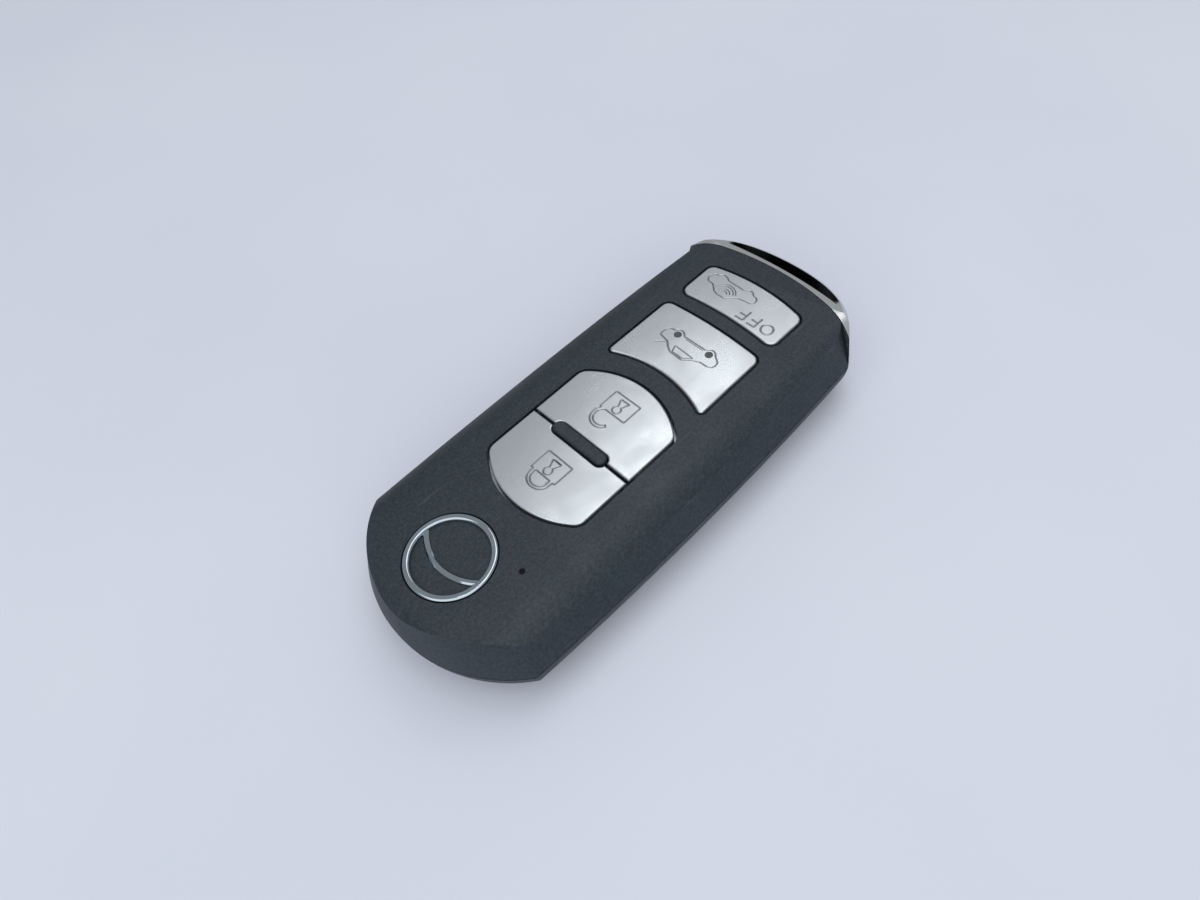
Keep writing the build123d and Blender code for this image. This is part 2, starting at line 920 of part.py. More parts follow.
# Circuit board, with a locating hole near each end
with BuildPart() as circuit_board:
    extrude(module_outline(board_level, module_wall + module_gap), amount=board_thickness)
    with BuildSketch(Plane.XY.offset(board_level)):
        for hole_x in (lock_far_x - board_hole_offset, sensor_far_x - board_hole_offset):
            with Locations((hole_x, board_hole_y)):
                Circle(board_hole_diameter / 2)
    extrude(amount=board_thickness, mode=Mode.SUBTRACT)
circuit_board.part.label = "circuit_board"
export_step(circuit_board.part, "parts/circuit_board.step")

# Tactile switches: square bodies with four legs, and a round plunger in each
leg_half = (switch_side / 2 + switch_leg_length) * 2
for key, place in key_places.items():
    with BuildPart() as switch:
        with BuildSketch(Plane.XY.offset(board_top)):
            with Locations((place, 0)):
                RectangleRounded(switch_side, switch_side, switch_corner_radius)
        extrude(amount=switch_height)
        with BuildSketch(Plane.XY.offset(board_top)):
            for side in (-1, 1):
                with Locations((place, side * (switch_side - switch_leg_width) / 2)):
                    Rectangle(leg_half, switch_leg_width)
        extrude(amount=switch_leg_thickness)
        add(
            rod(
                place,
                0,
                switch_top - plunger_depth - plunger_travel - seat_gap,
                switch_top,
                plunger_diameter + 2 * plunger_gap,
            ),
            mode=Mode.SUBTRACT,
        )
    switch.part.label = key + "_switch"
    export_step(switch.part, "parts/" + key + "_switch.step")

    with BuildPart() as plunger:
        add(
            rod(place, 0, switch_top - plunger_depth, switch_top + plunger_proud, plunger_diameter)
        )
        chamfer(plunger.edges().group_by(Axis.Z)[-1], plunger_chamfer)
    plunger.part.label = key + "_plunger"
    export_step(plunger.part, "parts/" + key + "_plunger.step")


# Flat component package on the board
def package(x, y, length, width, height, bevel):
    with BuildPart() as body:
        add(
            space_box(
                (x - length / 2, y - width / 2, board_top),
                (x + length / 2, y + width / 2, board_top + height),
            )
        )
        chamfer(body.edges().group_by(Axis.Z)[-1], bevel)
    return body.part


with BuildPart() as control_chip:
    add(package(control_x, control_y, control_side, control_side, control_height, package_chamfer))
control_chip.part.label = "control_chip"
export_step(control_chip.part, "parts/control_chip.step")

with BuildPart() as radio_chip:
    add(package(radio_x, radio_y, radio_side, radio_side, radio_height, package_chamfer))
radio_chip.part.label = "radio_chip"
export_step(radio_chip.part, "parts/radio_chip.step")

with BuildPart() as crystal:
    add(
        package(
            unlock_key_x, crystal_y, crystal_length, crystal_width, crystal_height, package_chamfer
        )
    )
crystal.part.label = "crystal"
export_step(crystal.part, "parts/crystal.step")

with BuildPart() as status_led:
    add(package(lamp_x, lamp_y, lamp_length, lamp_width, lamp_height, package_chamfer))
status_led.part.label = "status_led"
export_step(status_led.part, "parts/status_led.step")

# Row of small chip components along one edge of the board
with BuildPart() as chip_components:
    for index in range(chip_count):
        add(
            package(
                lock_key_x + index * chip_pitch,
                chip_row_y,
                chip_width,
                chip_length,
                chip_height,
                package_chamfer / 2,
            )
        )
chip_components.part.label = "chip_components"
export_step(chip_components.part, "parts/chip_components.step")

# Receiving coil below the board: flanged ferrite core and its square winding
coil_top = board_level - seat_gap
coil_level = coil_top - coil_height
with BuildPart() as coil_core:
    for low, high, side in (
        (coil_level, coil_level + coil_flange, coil_side),
        (coil_level, coil_top, coil_hub),
        (coil_top - coil_flange, coil_top, coil_side),
    ):
        add(
            space_box(
                (coil_x - side / 2, coil_y - side / 2, low), (coil_x + side / 2, coil_y + side / 2, high)
            )
        )
coil_core.part.label = "coil_core"
export_step(coil_core.part, "parts/coil_core.step")

winding_side = coil_side - 2 * winding_drop
with BuildPart() as coil_winding:
    with BuildSketch(Plane.XY.offset(coil_level + coil_flange + seat_gap)):
        with Locations((coil_x, coil_y)):
            RectangleRounded(winding_side, winding_side, winding_drop * 2)
            Rectangle(coil_hub + 2 * seat_gap, coil_hub + 2 * seat_gap, mode=Mode.SUBTRACT)
    extrude(amount=coil_height - 2 * coil_flange - 2 * seat_gap)
coil_winding.part.label = "coil_winding"
export_step(coil_winding.part, "parts/coil_winding.step")

# Coin cell: can below, smaller cap face above
with BuildPart() as battery:
    add(
        rod(
            battery_x,
            0,
            battery_level,
            battery_level + battery_thickness - battery_can_step,
            battery_diameter,
        )
    )
    fillet(battery.edges().filter_by(GeomType.CIRCLE), battery_edge_radius)
    add(
        rod(
            battery_x,
            0,
            battery_level,
            battery_level + battery_thickness,
            battery_diameter - 2 * battery_can_rim,
        )
    )
battery.part.label = "battery"
export_step(battery.part, "parts/battery.step")

# Positive contact: foot below the board, leg down beside the can
contact_leg_x = contact_x - contact_thickness / 2
contact_foot_z = board_level - contact_thickness / 2
with BuildPart() as positive_contact:
    with BuildSketch(Plane.XZ):
        with BuildLine():
            Polyline(
                (contact_leg_x - contact_foot, contact_foot_z),
                (contact_leg_x, contact_foot_z),
                (contact_leg_x, contact_foot_z - contact_drop),
            )
        trace(line_width=contact_thickness)
    extrude(amount=contact_width / 2, both=True)
positive_contact.part.label = "positive_contact"
export_step(positive_contact.part, "parts/positive_contact.step")

# Negative contact: foot below the board, spring arm sloping down to the cell, turned-up tip
contact_touch_z = battery_level + battery_thickness + contact_gap + contact_thickness / 2
with BuildPart() as negative_contact:
    with BuildSketch(Plane.XZ):
        with BuildLine():
            Polyline(
                (battery_x + contact_spring_run + contact_foot, contact_foot_z),
                (battery_x + contact_spring_run, contact_foot_z),
                (battery_x, contact_touch_z),
                (battery_x - contact_tip, contact_touch_z + contact_thickness),
            )
        trace(line_width=contact_thickness)
    extrude(amount=contact_width / 2, both=True)
negative_contact.part.label = "negative_contact"
export_step(negative_contact.part, "parts/negative_contact.step")

# Sealing ring between the well and its cap
seal_radius = well_radius + well_wall - seat_gap
with BuildPart() as sealing_ring:
    with BuildSketch(Plane.XY.offset(seal_level)):
        with Locations((battery_x, 0)):
            Circle(seal_radius)
            Circle(seal_radius - seal_width, mode=Mode.SUBTRACT)
    extrude(amount=seal_thickness)
sealing_ring.part.label = "sealing_ring"
export_step(sealing_ring.part, "parts/sealing_ring.step")

# Battery cap: disc with a coin slot below and a spigot that enters the well
with BuildPart() as battery_cap:
    add(rod(battery_x, 0, cap_level, cap_level + cap_thickness, 2 * (well_radius + well_wall)))
    chamfer(battery_cap.edges().group_by(Axis.Z)[0], cap_edge_chamfer)
    add(
        rod(
            battery_x,
            0,
            cap_level,
            cap_level + cap_thickness + cap_spigot_height,
            2 * (well_radius - spigot_gap),
        )
    )
    with BuildSketch(Plane.XY.offset(cap_level)):
        with Locations((battery_x, 0)):
            SlotOverall(cap_slot_length, cap_slot_width)
    extrude(amount=cap_slot_depth, mode=Mode.SUBTRACT)
battery_cap.part.label = "battery_cap"
export_step(battery_cap.part, "parts/battery_cap.step")


# Lens-shaped outline of the key-ring slot
def slot_outline(level):
    near = nose_x - slot_near
    far = nose_x - slot_far
    with BuildSketch(Plane.XY.offset(level)) as outline:
        with BuildLine():
            near_side = ThreePointArc(
                (near - slot_near_sag, slot_half_length),
                (near, 0),
                (near - slot_near_sag, -slot_half_length),
            )
            far_side = ThreePointArc(
                (far - slot_far_sag, -slot_half_length),
                (far, 0),
                (far - slot_far_sag, slot_half_length),
            )
            Line(near_side @ 1, far_side @ 0)
            Line(far_side @ 1, near_side @ 0)
        make_face()
        fillet(outline.vertices(), slot_end_radius)
    return outline.sketch


# Silver bow of the auxiliary key, more upright at its sides than the casing, and its holder block
pin_x = seam_x - pin_from_seam
block_side_y = key_y - block_width / 2
notch_x = seam_x - latch_notch_from_seam
with BuildPart() as bow_block:
    add(
        space_box(
            (seam_x - block_length, block_side_y, block_level),
            (seam_x + seam_gap, block_side_y + block_width, block_top),
        )
    )
    fillet(bow_block.edges().filter_by(Axis.X), block_edge_radius)

with BuildPart() as key_bow:
    add(fob_form(0, bow_side_lean))
    add(nose_space(seam_gap), mode=Mode.INTERSECT)
    long_edges = key_bow.edges().filter_by(lambda edge: edge.length > waist_half_width)
    chamfer(long_edges.filter_by(lambda edge: (edge @ 0.5).X > nose_x - slot_far), bow_edge_bevel)
    extrude(slot_outline(0), amount=shell_height, mode=Mode.SUBTRACT)
    add(bow_block.part)
    add(
        space_box(
            (
                seam_x - block_length - overrun,
                key_y - blade_width / 2 - blade_fit,
                blade_level - blade_fit,
            ),
            (
                blade_root_x + blade_fit,
                key_y + blade_width / 2 + blade_fit,
                blade_level + blade_thickness + blade_fit,
            ),
        ),
        mode=Mode.SUBTRACT,
    )
    add(
        rod(
            pin_x,
            key_y,
            block_level - overrun,
            block_top + overrun,
            pin_diameter + 2 * pin_gap,
        ),
        mode=Mode.SUBTRACT,
    )
    add(
        space_box(
            (notch_x - latch_notch_length, block_side_y - overrun, block_level - overrun),
            (notch_x, block_side_y + latch_notch_depth, block_top + overrun),
        ),
        mode=Mode.SUBTRACT,
    )
key_bow.part.label = "key_bow"
export_step(key_bow.part, "parts/key_bow.step")

# Blade of the auxiliary key: pointed tip, the same cuts in both edges, a groove in both faces
with BuildPart() as key_blade:
    with BuildSketch(Plane.XY.offset(blade_level)) as blade_plan:
        with BuildLine():
            Polyline(
                (blade_root_x, key_y + blade_width / 2),
                (blade_tip_x + blade_tip_length, key_y + blade_width / 2),
                (blade_tip_x, key_y + blade_tip_width / 2),
                (blade_tip_x, key_y - blade_tip_width / 2),
                (blade_tip_x + blade_tip_length, key_y - blade_width / 2),
                (blade_root_x, key_y - blade_width / 2),
                close=True,
            )
        make_face()
        for side in (-1, 1):
            edge_y = key_y + side * blade_width / 2
            cuts = [
                (
                    blade_tip_x + blade_cut_start + along * blade_cut_length,
                    edge_y - side * deep * blade_cut_depth,
                )
                for along, deep in blade_cut_shares
            ]
            with BuildLine():
                Polyline(
                    (cuts[0][0], edge_y + side * overrun),
                    *cuts,
                    (cuts[-1][0], edge_y + side * overrun),
                    close=True,
                )
            make_face(mode=Mode.SUBTRACT)
    extrude(amount=blade_thickness)
    groove_length = blade_length - blade_groove_end
    for face_level in (blade_level, blade_level + blade_thickness):
        with BuildSketch(Plane.XY.offset(face_level)):
            with Locations((blade_tip_x + groove_length / 2 - overrun, key_y)):
                SlotOverall(groove_length + 2 * overrun, blade_groove_width)
        extrude(amount=blade_groove_depth, both=True, mode=Mode.SUBTRACT)
    add(
        rod(
            pin_x,
            key_y,
            blade_level,
            blade_level + blade_thickness,
            pin_diameter + 2 * pin_gap,
        ),
        mode=Mode.SUBTRACT,
    )
key_blade.part.label = "key_blade"
export_step(key_blade.part, "parts/key_blade.step")

with BuildPart() as bow_pin:
    add(rod(pin_x, key_y, block_level + pin_inset, block_top - pin_inset, pin_diameter))
bow_pin.part.label = "bow_pin"
export_step(bow_pin.part, "parts/bow_pin.step")

# Release knob: ribbed pad in the back opening, flange inside, spring nub and latch tooth
flange_floor = wall + knob_flange_gap
flange_roof = flange_floor + knob_flange_thickness
tooth_x = notch_x - latch_notch_length / 2
with BuildPart() as release_knob:
    with BuildSketch(Plane.XY.offset(knob_recess)):
        with Locations((knob_x, knob_y)):
            RectangleRounded(knob_length, knob_width, knob_corner_radius)
    extrude(amount=flange_roof - knob_recess)
    with BuildSketch(Plane.XY.offset(flange_floor)):
        with Locations((knob_x, knob_y)):
            RectangleRounded(
                knob_length + 2 * knob_flange, knob_width + 2 * knob_flange, knob_corner_radius
            )
    extrude(amount=knob_flange_thickness)
    with BuildSketch(Plane.XY.offset(knob_recess - knob_rib_height)):
        with Locations((knob_x, knob_y)):
            with GridLocations(knob_rib_pitch, 0, knob_rib_count, 1):
                Rectangle(knob_rib_width, knob_width - 2 * knob_corner_radius)
    extrude(amount=knob_rib_height)
    add(rod(knob_x, knob_y, flange_roof, flange_roof + knob_nub_height, knob_nub_diameter))
    add(
        space_box(
            (tooth_x - latch_length / 2, knob_y + knob_width / 2, flange_floor),
            (tooth_x + latch_length / 2, block_side_y - latch_gap, block_level + latch_rise),
        )
    )
release_knob.part.label = "release_knob"
export_step(release_knob.part, "parts/release_knob.step")

# Return spring of the knob
with BuildPart() as release_spring:
    spring_floor = flange_roof + spring_gap
    with BuildSketch(Plane.XY.offset(spring_floor)):
        with Locations((knob_x, knob_y)):
            Circle(spring_diameter / 2)
            Circle(spring_diameter / 2 - spring_wire, mode=Mode.SUBTRACT)
    extrude(amount=module_level - spring_gap - spring_floor)
release_spring.part.label = "release_spring"
export_step(release_spring.part, "parts/release_spring.step")


# Band between two inset outlines of the fob, at the sides and heel only
def fob_band(low, high, outer_inset, inner_inset):
    with BuildPart() as band:
        extrude(fob_outline(low, outer_inset, outer_inset, outer_inset), amount=high - low)
        extrude(
            fob_outline(low, inner_inset, inner_inset, inner_inset),
            amount=high - low,
            mode=Mode.SUBTRACT,
        )
        add(nose_space(-lip_end), mode=Mode.SUBTRACT)
    return band.part


# Inner features of the lower cover: ledge and lip, walls that guide the key, module rests
lower_top = parting_height - parting_gap
lip_inset = wall + lip_height * math.tan(math.radians(side_lean)) + lip_gap
channel_top = module_level - channel_top_gap
channel_start = battery_x + well_radius + well_wall + channel_wall
block_start = seam_x - block_length - key_clear
with BuildPart() as lower_features:
    add(fob_band(lower_top - ledge_depth, lower_top, wall / 2, lip_inset + lip_thickness))
    for start, end, offset_y in (
        (channel_start, block_start, blade_width / 2 + channel_gap),
        (block_start, seam_x - wall, block_width / 2 + channel_gap),
    ):
        add(
            space_box(
                (start, key_y + offset_y, wall / 2), (end, key_y + offset_y + channel_wall, channel_top)
            )
        )
    add(
        space_box(
            (channel_start, key_y - blade_width / 2 - channel_gap - channel_wall, wall / 2),
            (block_start, key_y - blade_width / 2 - channel_gap, channel_top),
        )
    )
    for rest_x in (heel_x + module_heel_gap + standoff_inset, battery_x + rest_spacing, seam_x - rest_nose_gap):
        add(rod(rest_x, -rest_y, wall / 2, module_level - seat_gap, rest_diameter))
    add(
        rod(
            heel_x + module_heel_gap + standoff_inset,
            rest_y,
            wall / 2,
            module_level - seat_gap,
            rest_diameter,
        )
    )
    add(outer_form, mode=Mode.INTERSECT)
    add(nose_space(-wall / 2), mode=Mode.SUBTRACT)

# Lower cover
with BuildPart() as lower_shell:
    add(outer_form)
    split(bisect_by=Plane.XY.offset(lower_top), keep=Keep.BOTTOM)
    add(nose_space(0), mode=Mode.SUBTRACT)
    add(casing_room.part, mode=Mode.SUBTRACT)
    add(lower_features.part)
    add(fob_band(lower_top, parting_height + lip_height, lip_inset, lip_inset + lip_thickness))
    add(
        space_box(
            (
                seam_x - block_length + overrun,
                block_side_y - channel_gap,
                block_level - channel_gap,
            ),
            (
                seam_x + overrun,
                block_side_y + block_width + channel_gap,
                block_top + channel_gap,
            ),
        ),
        mode=Mode.SUBTRACT,
    )
    with BuildSketch():
        with Locations((knob_x, knob_y)):
            RectangleRounded(
                knob_length + 2 * knob_gap, knob_width + 2 * knob_gap, knob_corner_radius + knob_gap
            )
    extrude(amount=2 * wall, both=True, mode=Mode.SUBTRACT)
lower_shell.part.label = "lower_shell"
export_step(lower_shell.part, "parts/lower_shell.step")
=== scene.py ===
# %% [markdown]
# Car key fob with a pull-out auxiliary key.
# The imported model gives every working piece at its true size. This script gives the pieces
# their finishes, cuts the marks into the keys, and lays the fob on a pale table in soft light.
# Sizes are written in mm, and MM turns them into Blender's metres.

# %% Load the frame
import math
import bmesh
import bpy
import numpy as np
from mathutils import Matrix, Vector


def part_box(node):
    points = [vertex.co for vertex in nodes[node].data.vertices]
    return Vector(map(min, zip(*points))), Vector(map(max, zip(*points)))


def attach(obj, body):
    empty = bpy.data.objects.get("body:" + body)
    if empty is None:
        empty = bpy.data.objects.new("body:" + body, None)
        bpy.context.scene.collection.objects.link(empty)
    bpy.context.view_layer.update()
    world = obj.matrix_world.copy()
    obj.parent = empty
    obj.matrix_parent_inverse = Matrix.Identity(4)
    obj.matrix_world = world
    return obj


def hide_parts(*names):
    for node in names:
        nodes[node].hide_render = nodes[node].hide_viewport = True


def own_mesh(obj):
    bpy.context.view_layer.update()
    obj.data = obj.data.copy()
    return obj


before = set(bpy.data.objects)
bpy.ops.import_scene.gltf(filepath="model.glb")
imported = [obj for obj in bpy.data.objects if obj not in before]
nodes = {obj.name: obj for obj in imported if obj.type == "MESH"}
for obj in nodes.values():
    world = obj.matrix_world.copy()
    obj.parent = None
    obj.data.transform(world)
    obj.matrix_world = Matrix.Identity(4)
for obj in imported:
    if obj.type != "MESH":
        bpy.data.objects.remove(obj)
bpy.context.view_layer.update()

MM = 0.001

# %% [markdown]
# Every finish starts from the same small kit: a shader whose base values sit on its own sockets,
# and a few procedural textures on Object coordinates, so a pattern stays with its piece in
# every pose. Image textures could do this too, but they would have to be unwrapped and painted.

# %% A shader and its patterns
def new_finish(name, colour, roughness, metallic=0.0, coat=0.0):
    """Material with one Principled shader. Returns it with its tree, shader and coordinates."""
    material = bpy.data.materials.new(name)
    material.use_nodes = True
    tree = material.node_tree
    shader = tree.nodes["Principled BSDF"]
    shader.inputs["Base Color"].default_value = (*colour, 1)
    shader.inputs["Roughness"].default_value = roughness
    shader.inputs["Metallic"].default_value = metallic
    shader.inputs["Coat Weight"].default_value = coat
    shader.inputs["Coat Roughness"].default_value = 0.25
    coordinates = tree.nodes.new("ShaderNodeTexCoord")
    return material, tree, shader, coordinates.outputs["Object"]


def noise(tree, vector, per_mm, detail=2.0, distortion=0.0):
    """Noise whose cells are 1 / per_mm wide, read on Object coordinates."""
    node = tree.nodes.new("ShaderNodeTexNoise")
    node.inputs["Scale"].default_value = per_mm / MM
    node.inputs["Detail"].default_value = detail
    node.inputs["Distortion"].default_value = distortion
    tree.links.new(vector, node.inputs["Vector"])
    return node.outputs["Fac"]


def stretch(tree, vector, scale, turn=0):
    """Coordinates turned by `turn` degrees about z and scaled on each axis, so that a pattern read
    on them is drawn out into lines."""
    node = tree.nodes.new("ShaderNodeMapping")
    node.inputs["Scale"].default_value = scale
    node.inputs["Rotation"].default_value = (0, 0, math.radians(turn))
    tree.links.new(vector, node.inputs["Vector"])
    return node.outputs["Vector"]


print("materials before dressing", len(bpy.data.materials))

# %% [markdown]
# Colour, roughness and relief are varied separately, as wear does it. A pattern is remapped to a
# share from 0 to 1. The share then mixes two colours, moves the roughness or lifts the surface.

# %% Shares, mixes and relief
def remap(tree, value, low, high, to_low=0.0, to_high=1.0):
    """Map Range: low..high becomes to_low..to_high, clamped."""
    node = tree.nodes.new("ShaderNodeMapRange")
    tree.links.new(value, node.inputs["Value"])
    node.inputs["From Min"].default_value = low
    node.inputs["From Max"].default_value = high
    node.inputs["To Min"].default_value = to_low
    node.inputs["To Max"].default_value = to_high
    return node.outputs["Result"]


def maths(tree, kind, a, b):
    """One arithmetic node. Each input is a socket or a number."""
    node = tree.nodes.new("ShaderNodeMath")
    node.operation = kind
    for socket, value in zip(node.inputs, (a, b)):
        if isinstance(value, (int, float)):
            socket.default_value = value
        else:
            tree.links.new(value, socket)
    return node.outputs["Value"]


def blend_colour(tree, share, first, second):
    """Mix of two colours by a share from 0 to 1. Each is a socket or a colour of three numbers."""
    node = tree.nodes.new("ShaderNodeMix")
    node.data_type = "RGBA"
    tree.links.new(share, node.inputs["Factor"])
    for socket, colour in ((node.inputs["A"], first), (node.inputs["B"], second)):
        if isinstance(colour, tuple):
            socket.default_value = (*colour, 1)
        else:
            tree.links.new(colour, socket)
    return node.outputs["Result"]


def relief(tree, shader, height, depth_mm, strength=1.0):
    """Bump of a given real depth, chained after any bump that the shader already has."""
    node = tree.nodes.new("ShaderNodeBump")
    node.inputs["Strength"].default_value = strength
    node.inputs["Distance"].default_value = depth_mm * MM
    tree.links.new(height, node.inputs["Height"])
    if shader.inputs["Normal"].is_linked:
        tree.links.new(shader.inputs["Normal"].links[0].from_socket, node.inputs["Normal"])
    tree.links.new(node.outputs["Normal"], shader.inputs["Normal"])


def drive(tree, shader, socket, value):
    """Feeds a worked-out value to one socket of the shader."""
    tree.links.new(value, shader.inputs[socket])


def dress(material, *names):
    """Gives CAD nodes this material in their own slots. Their meshes are left as they are."""
    for name in names:
        for holder in nodes[name].material_slots:
            holder.material = material
    print(material.name, "on", ", ".join(names))


print("pieces to dress", len(nodes))

# %% [markdown]
# The casing is moulded in black plastic against a spark-eroded steel mould, so it carries an even
# grain of tiny pits and bumps. The grain breaks up every reflection, which makes the black look
# charcoal. Hands polish the raised places a little, so a wide soft noise changes the roughness,
# and a few hairline scuffs, lighter than the rest, run across it.

# %% Casing: black plastic with a spark texture
PIT_COLOUR = (0.004, 0.01, 0.017)
BUMP_COLOUR = (0.016, 0.033, 0.047)
SCUFF_COLOUR = (0.06, 0.07, 0.08)
FINE_SHARE = 0.55
COARSE_SHARE = 0.45


def casing_finish():
    """Black with grain of two sizes, cloudy polish and a few hairline scuffs."""
    material, tree, shader, place = new_finish("casing_black", (0.015, 0.025, 0.034), 0.5)
    fine = noise(tree, place, per_mm=4.5, detail=3)
    coarse = noise(tree, place, per_mm=2.2, detail=2)
    cloud = noise(tree, place, per_mm=0.07, detail=4)
    fine_part = maths(tree, "MULTIPLY", fine, FINE_SHARE)
    coarse_part = maths(tree, "MULTIPLY", coarse, COARSE_SHARE)
    grain = maths(tree, "ADD", fine_part, coarse_part)
    colour = blend_colour(tree, remap(tree, grain, 0.42, 0.62), PIT_COLOUR, BUMP_COLOUR)
    hairlines = noise(tree, stretch(tree, place, (1, 14, 1), turn=27), per_mm=0.11, detail=5)
    scuffed = remap(tree, hairlines, 0.66, 0.74, 0, 0.35)
    drive(tree, shader, "Base Color", blend_colour(tree, scuffed, colour, SCUFF_COLOUR))
    drive(tree, shader, "Roughness", remap(tree, cloud, 0.35, 0.65, 0.46, 0.6))
    relief(tree, shader, grain, depth_mm=0.048, strength=0.8)
    return material


dress(casing_finish(), "upper_shell", "lower_shell", "badge_plate")

# %% [markdown]
# The push keys are moulded plastic with a satin silver lacquer. Aluminium flakes in the lacquer
# give it a metal's reflection with a soft edge. Fingers leave cloudy smudges on it, a little
# darker and rougher than the clean lacquer. Faint hairlines run in two directions.
# The bow has the same lacquer, but it knocks against other keys, so it also has small nicks.
# The walls of its slot are painted dark: painted shade for the deep shadow inside the slot.

# %% Silver lacquer for keys and bow
SMUDGE_SHADE = 0.86
NICK_COLOUR = (0.16, 0.16, 0.16)
NICK_SHARE = 0.75
# Painted shade on the floors of the grooves: its colour and how much of it.
GROOVE_SHADE_COLOUR = (0.1, 0.105, 0.11)
GROOVE_SHADE_SHARE = 0.75
# Painted shade for the walls of the bow's slot, which lie in deep shadow.
SLOT_PAINTED_SHADE = (0.035, 0.04, 0.045)
BOW_SLOT = {"near": 37.90, "near_sag": 0.9, "far": 40.90, "far_sag": 2.9, "half_length": 10.20}
WALL_STARTS = 0.12
WALL_FULL = 0.03
END_STARTS = 1.12
END_FULL = 1.05


def past_wall(tree, x, square, middle, sag):
    """How far x in mm lies past a curved wall: x plus the sag times the square, less the middle."""
    straightened = maths(tree, "ADD", x, maths(tree, "MULTIPLY", square, sag))
    return maths(tree, "SUBTRACT", straightened, middle)


def within_slot(tree, place, near, near_sag, far, far_sag, half_length):
    """Share that is 1 on the walls of the bow's slot. Both long walls are taken as parabolas: x in
    mm is its value at the middle less the sag times the square of y over the half length."""
    parts = tree.nodes.new("ShaderNodeSeparateXYZ")
    tree.links.new(place, parts.inputs["Vector"])
    across = maths(tree, "DIVIDE", parts.outputs["Y"], half_length * MM)
    square = maths(tree, "MULTIPLY", across, across)
    x = maths(tree, "DIVIDE", parts.outputs["X"], MM)
    past_near = remap(tree, past_wall(tree, x, square, near, near_sag), -WALL_STARTS, -WALL_FULL)
    short_of_far = remap(tree, past_wall(tree, x, square, far, far_sag), WALL_STARTS, WALL_FULL)
    between = maths(tree, "MULTIPLY", past_near, short_of_far)
    return maths(tree, "MULTIPLY", between, remap(tree, square, END_STARTS, END_FULL))


def lacquer_finish(name, colour, rough_low, rough_high, nicks_above, slot=None):
    """Silver lacquer. Painted shade darkens the floors of the marks, where the attribute "groove" is
    high, and leaves their upper walls unshaded, so that one wall of a groove still catches the
    light."""
    material, tree, shader, place = new_finish(name, colour, 0.36, metallic=0.9)
    cloud = noise(tree, place, per_mm=0.16, detail=5, distortion=0.6)
    flake = noise(tree, place, per_mm=7.0, detail=1)
    hair_a = noise(tree, stretch(tree, place, (1, 40, 1), turn=35), per_mm=0.09, detail=6)
    hair_b = noise(tree, stretch(tree, place, (1, 45, 1), turn=-50), per_mm=0.08, detail=6)
    hairs = maths(
        tree, "MAXIMUM", remap(tree, hair_a, 0.66, 0.72), remap(tree, hair_b, 0.67, 0.73)
    )
    smudge = remap(tree, cloud, 0.38, 0.66)
    smudged = tuple(channel * SMUDGE_SHADE for channel in colour)
    mottled = blend_colour(tree, smudge, colour, smudged)
    nicks = remap(tree, noise(tree, place, per_mm=0.9, detail=3), nicks_above, nicks_above + 0.03)
    worn = blend_colour(tree, maths(tree, "MULTIPLY", nicks, NICK_SHARE), mottled, NICK_COLOUR)
    # Painted shade: the lacquer is darkened on the floors of the grooves, by how deep they lie.
    grooves = tree.nodes.new("ShaderNodeAttribute")
    grooves.attribute_name = "groove"
    groove_shade = remap(tree, grooves.outputs["Fac"], 0.5, 1.0, 0.0, GROOVE_SHADE_SHARE)
    worn_and_shaded = blend_colour(tree, groove_shade, worn, GROOVE_SHADE_COLOUR)
    # The walls of the bow's slot get painted shade.
    if slot:
        worn_and_shaded = blend_colour(tree, within_slot(tree, place, **slot), worn_and_shaded, SLOT_PAINTED_SHADE)
    drive(tree, shader, "Base Color", worn_and_shaded)
    rough = remap(tree, smudge, 0, 1, rough_low, rough_high)
    scratched = maths(tree, "ADD", rough, maths(tree, "MULTIPLY", hairs, 0.06))
    drive(tree, shader, "Roughness", scratched)
    relief(tree, shader, flake, depth_mm=0.008, strength=0.6)
    relief(tree, shader, hairs, depth_mm=-0.004, strength=0.6)
    relief(tree, shader, nicks, depth_mm=-0.03, strength=0.6)
    return material


key_lacquer = lacquer_finish(
    "key_silver", (0.55, 0.59, 0.625), rough_low=0.27, rough_high=0.335, nicks_above=0.9
)
bow_lacquer = lacquer_finish(
    "bow_silver", (0.6, 0.62, 0.64), rough_low=0.26, rough_high=0.36, nicks_above=0.75,
    slot=BOW_SLOT,
)
dress(key_lacquer, "lock_button", "unlock_button", "trunk_button", "sensor_button")
dress(bow_lacquer, "key_bow")

# %% [markdown]
# The badge is dark chrome on plastic: a mirror with the slightest haze of wiping marks. It is a
# plain ring crossed by one arc. Dark chrome keeps the ring slate grey where it mirrors the sky,
# and lets the bevels flash where they mirror a lamp, as the real plating does.
# The light guide beside it is clear plastic, and its lamp is off. It is coloured nearly black:
# painted shade for the dark hole it sits in.

# %% Chrome badge and clear light guide
def chrome_finish():
    """Dark mirror whose haze changes its roughness in wide clouds."""
    material, tree, shader, place = new_finish(
        "badge_chrome", (0.4, 0.46, 0.51), 0.07, metallic=1.0
    )
    haze = noise(tree, place, per_mm=0.5, detail=4, distortion=1.0)
    drive(tree, shader, "Roughness", remap(tree, haze, 0.4, 0.7, 0.04, 0.14))
    relief(tree, shader, noise(tree, place, per_mm=0.35, detail=2), depth_mm=0.01, strength=0.3)
    return material


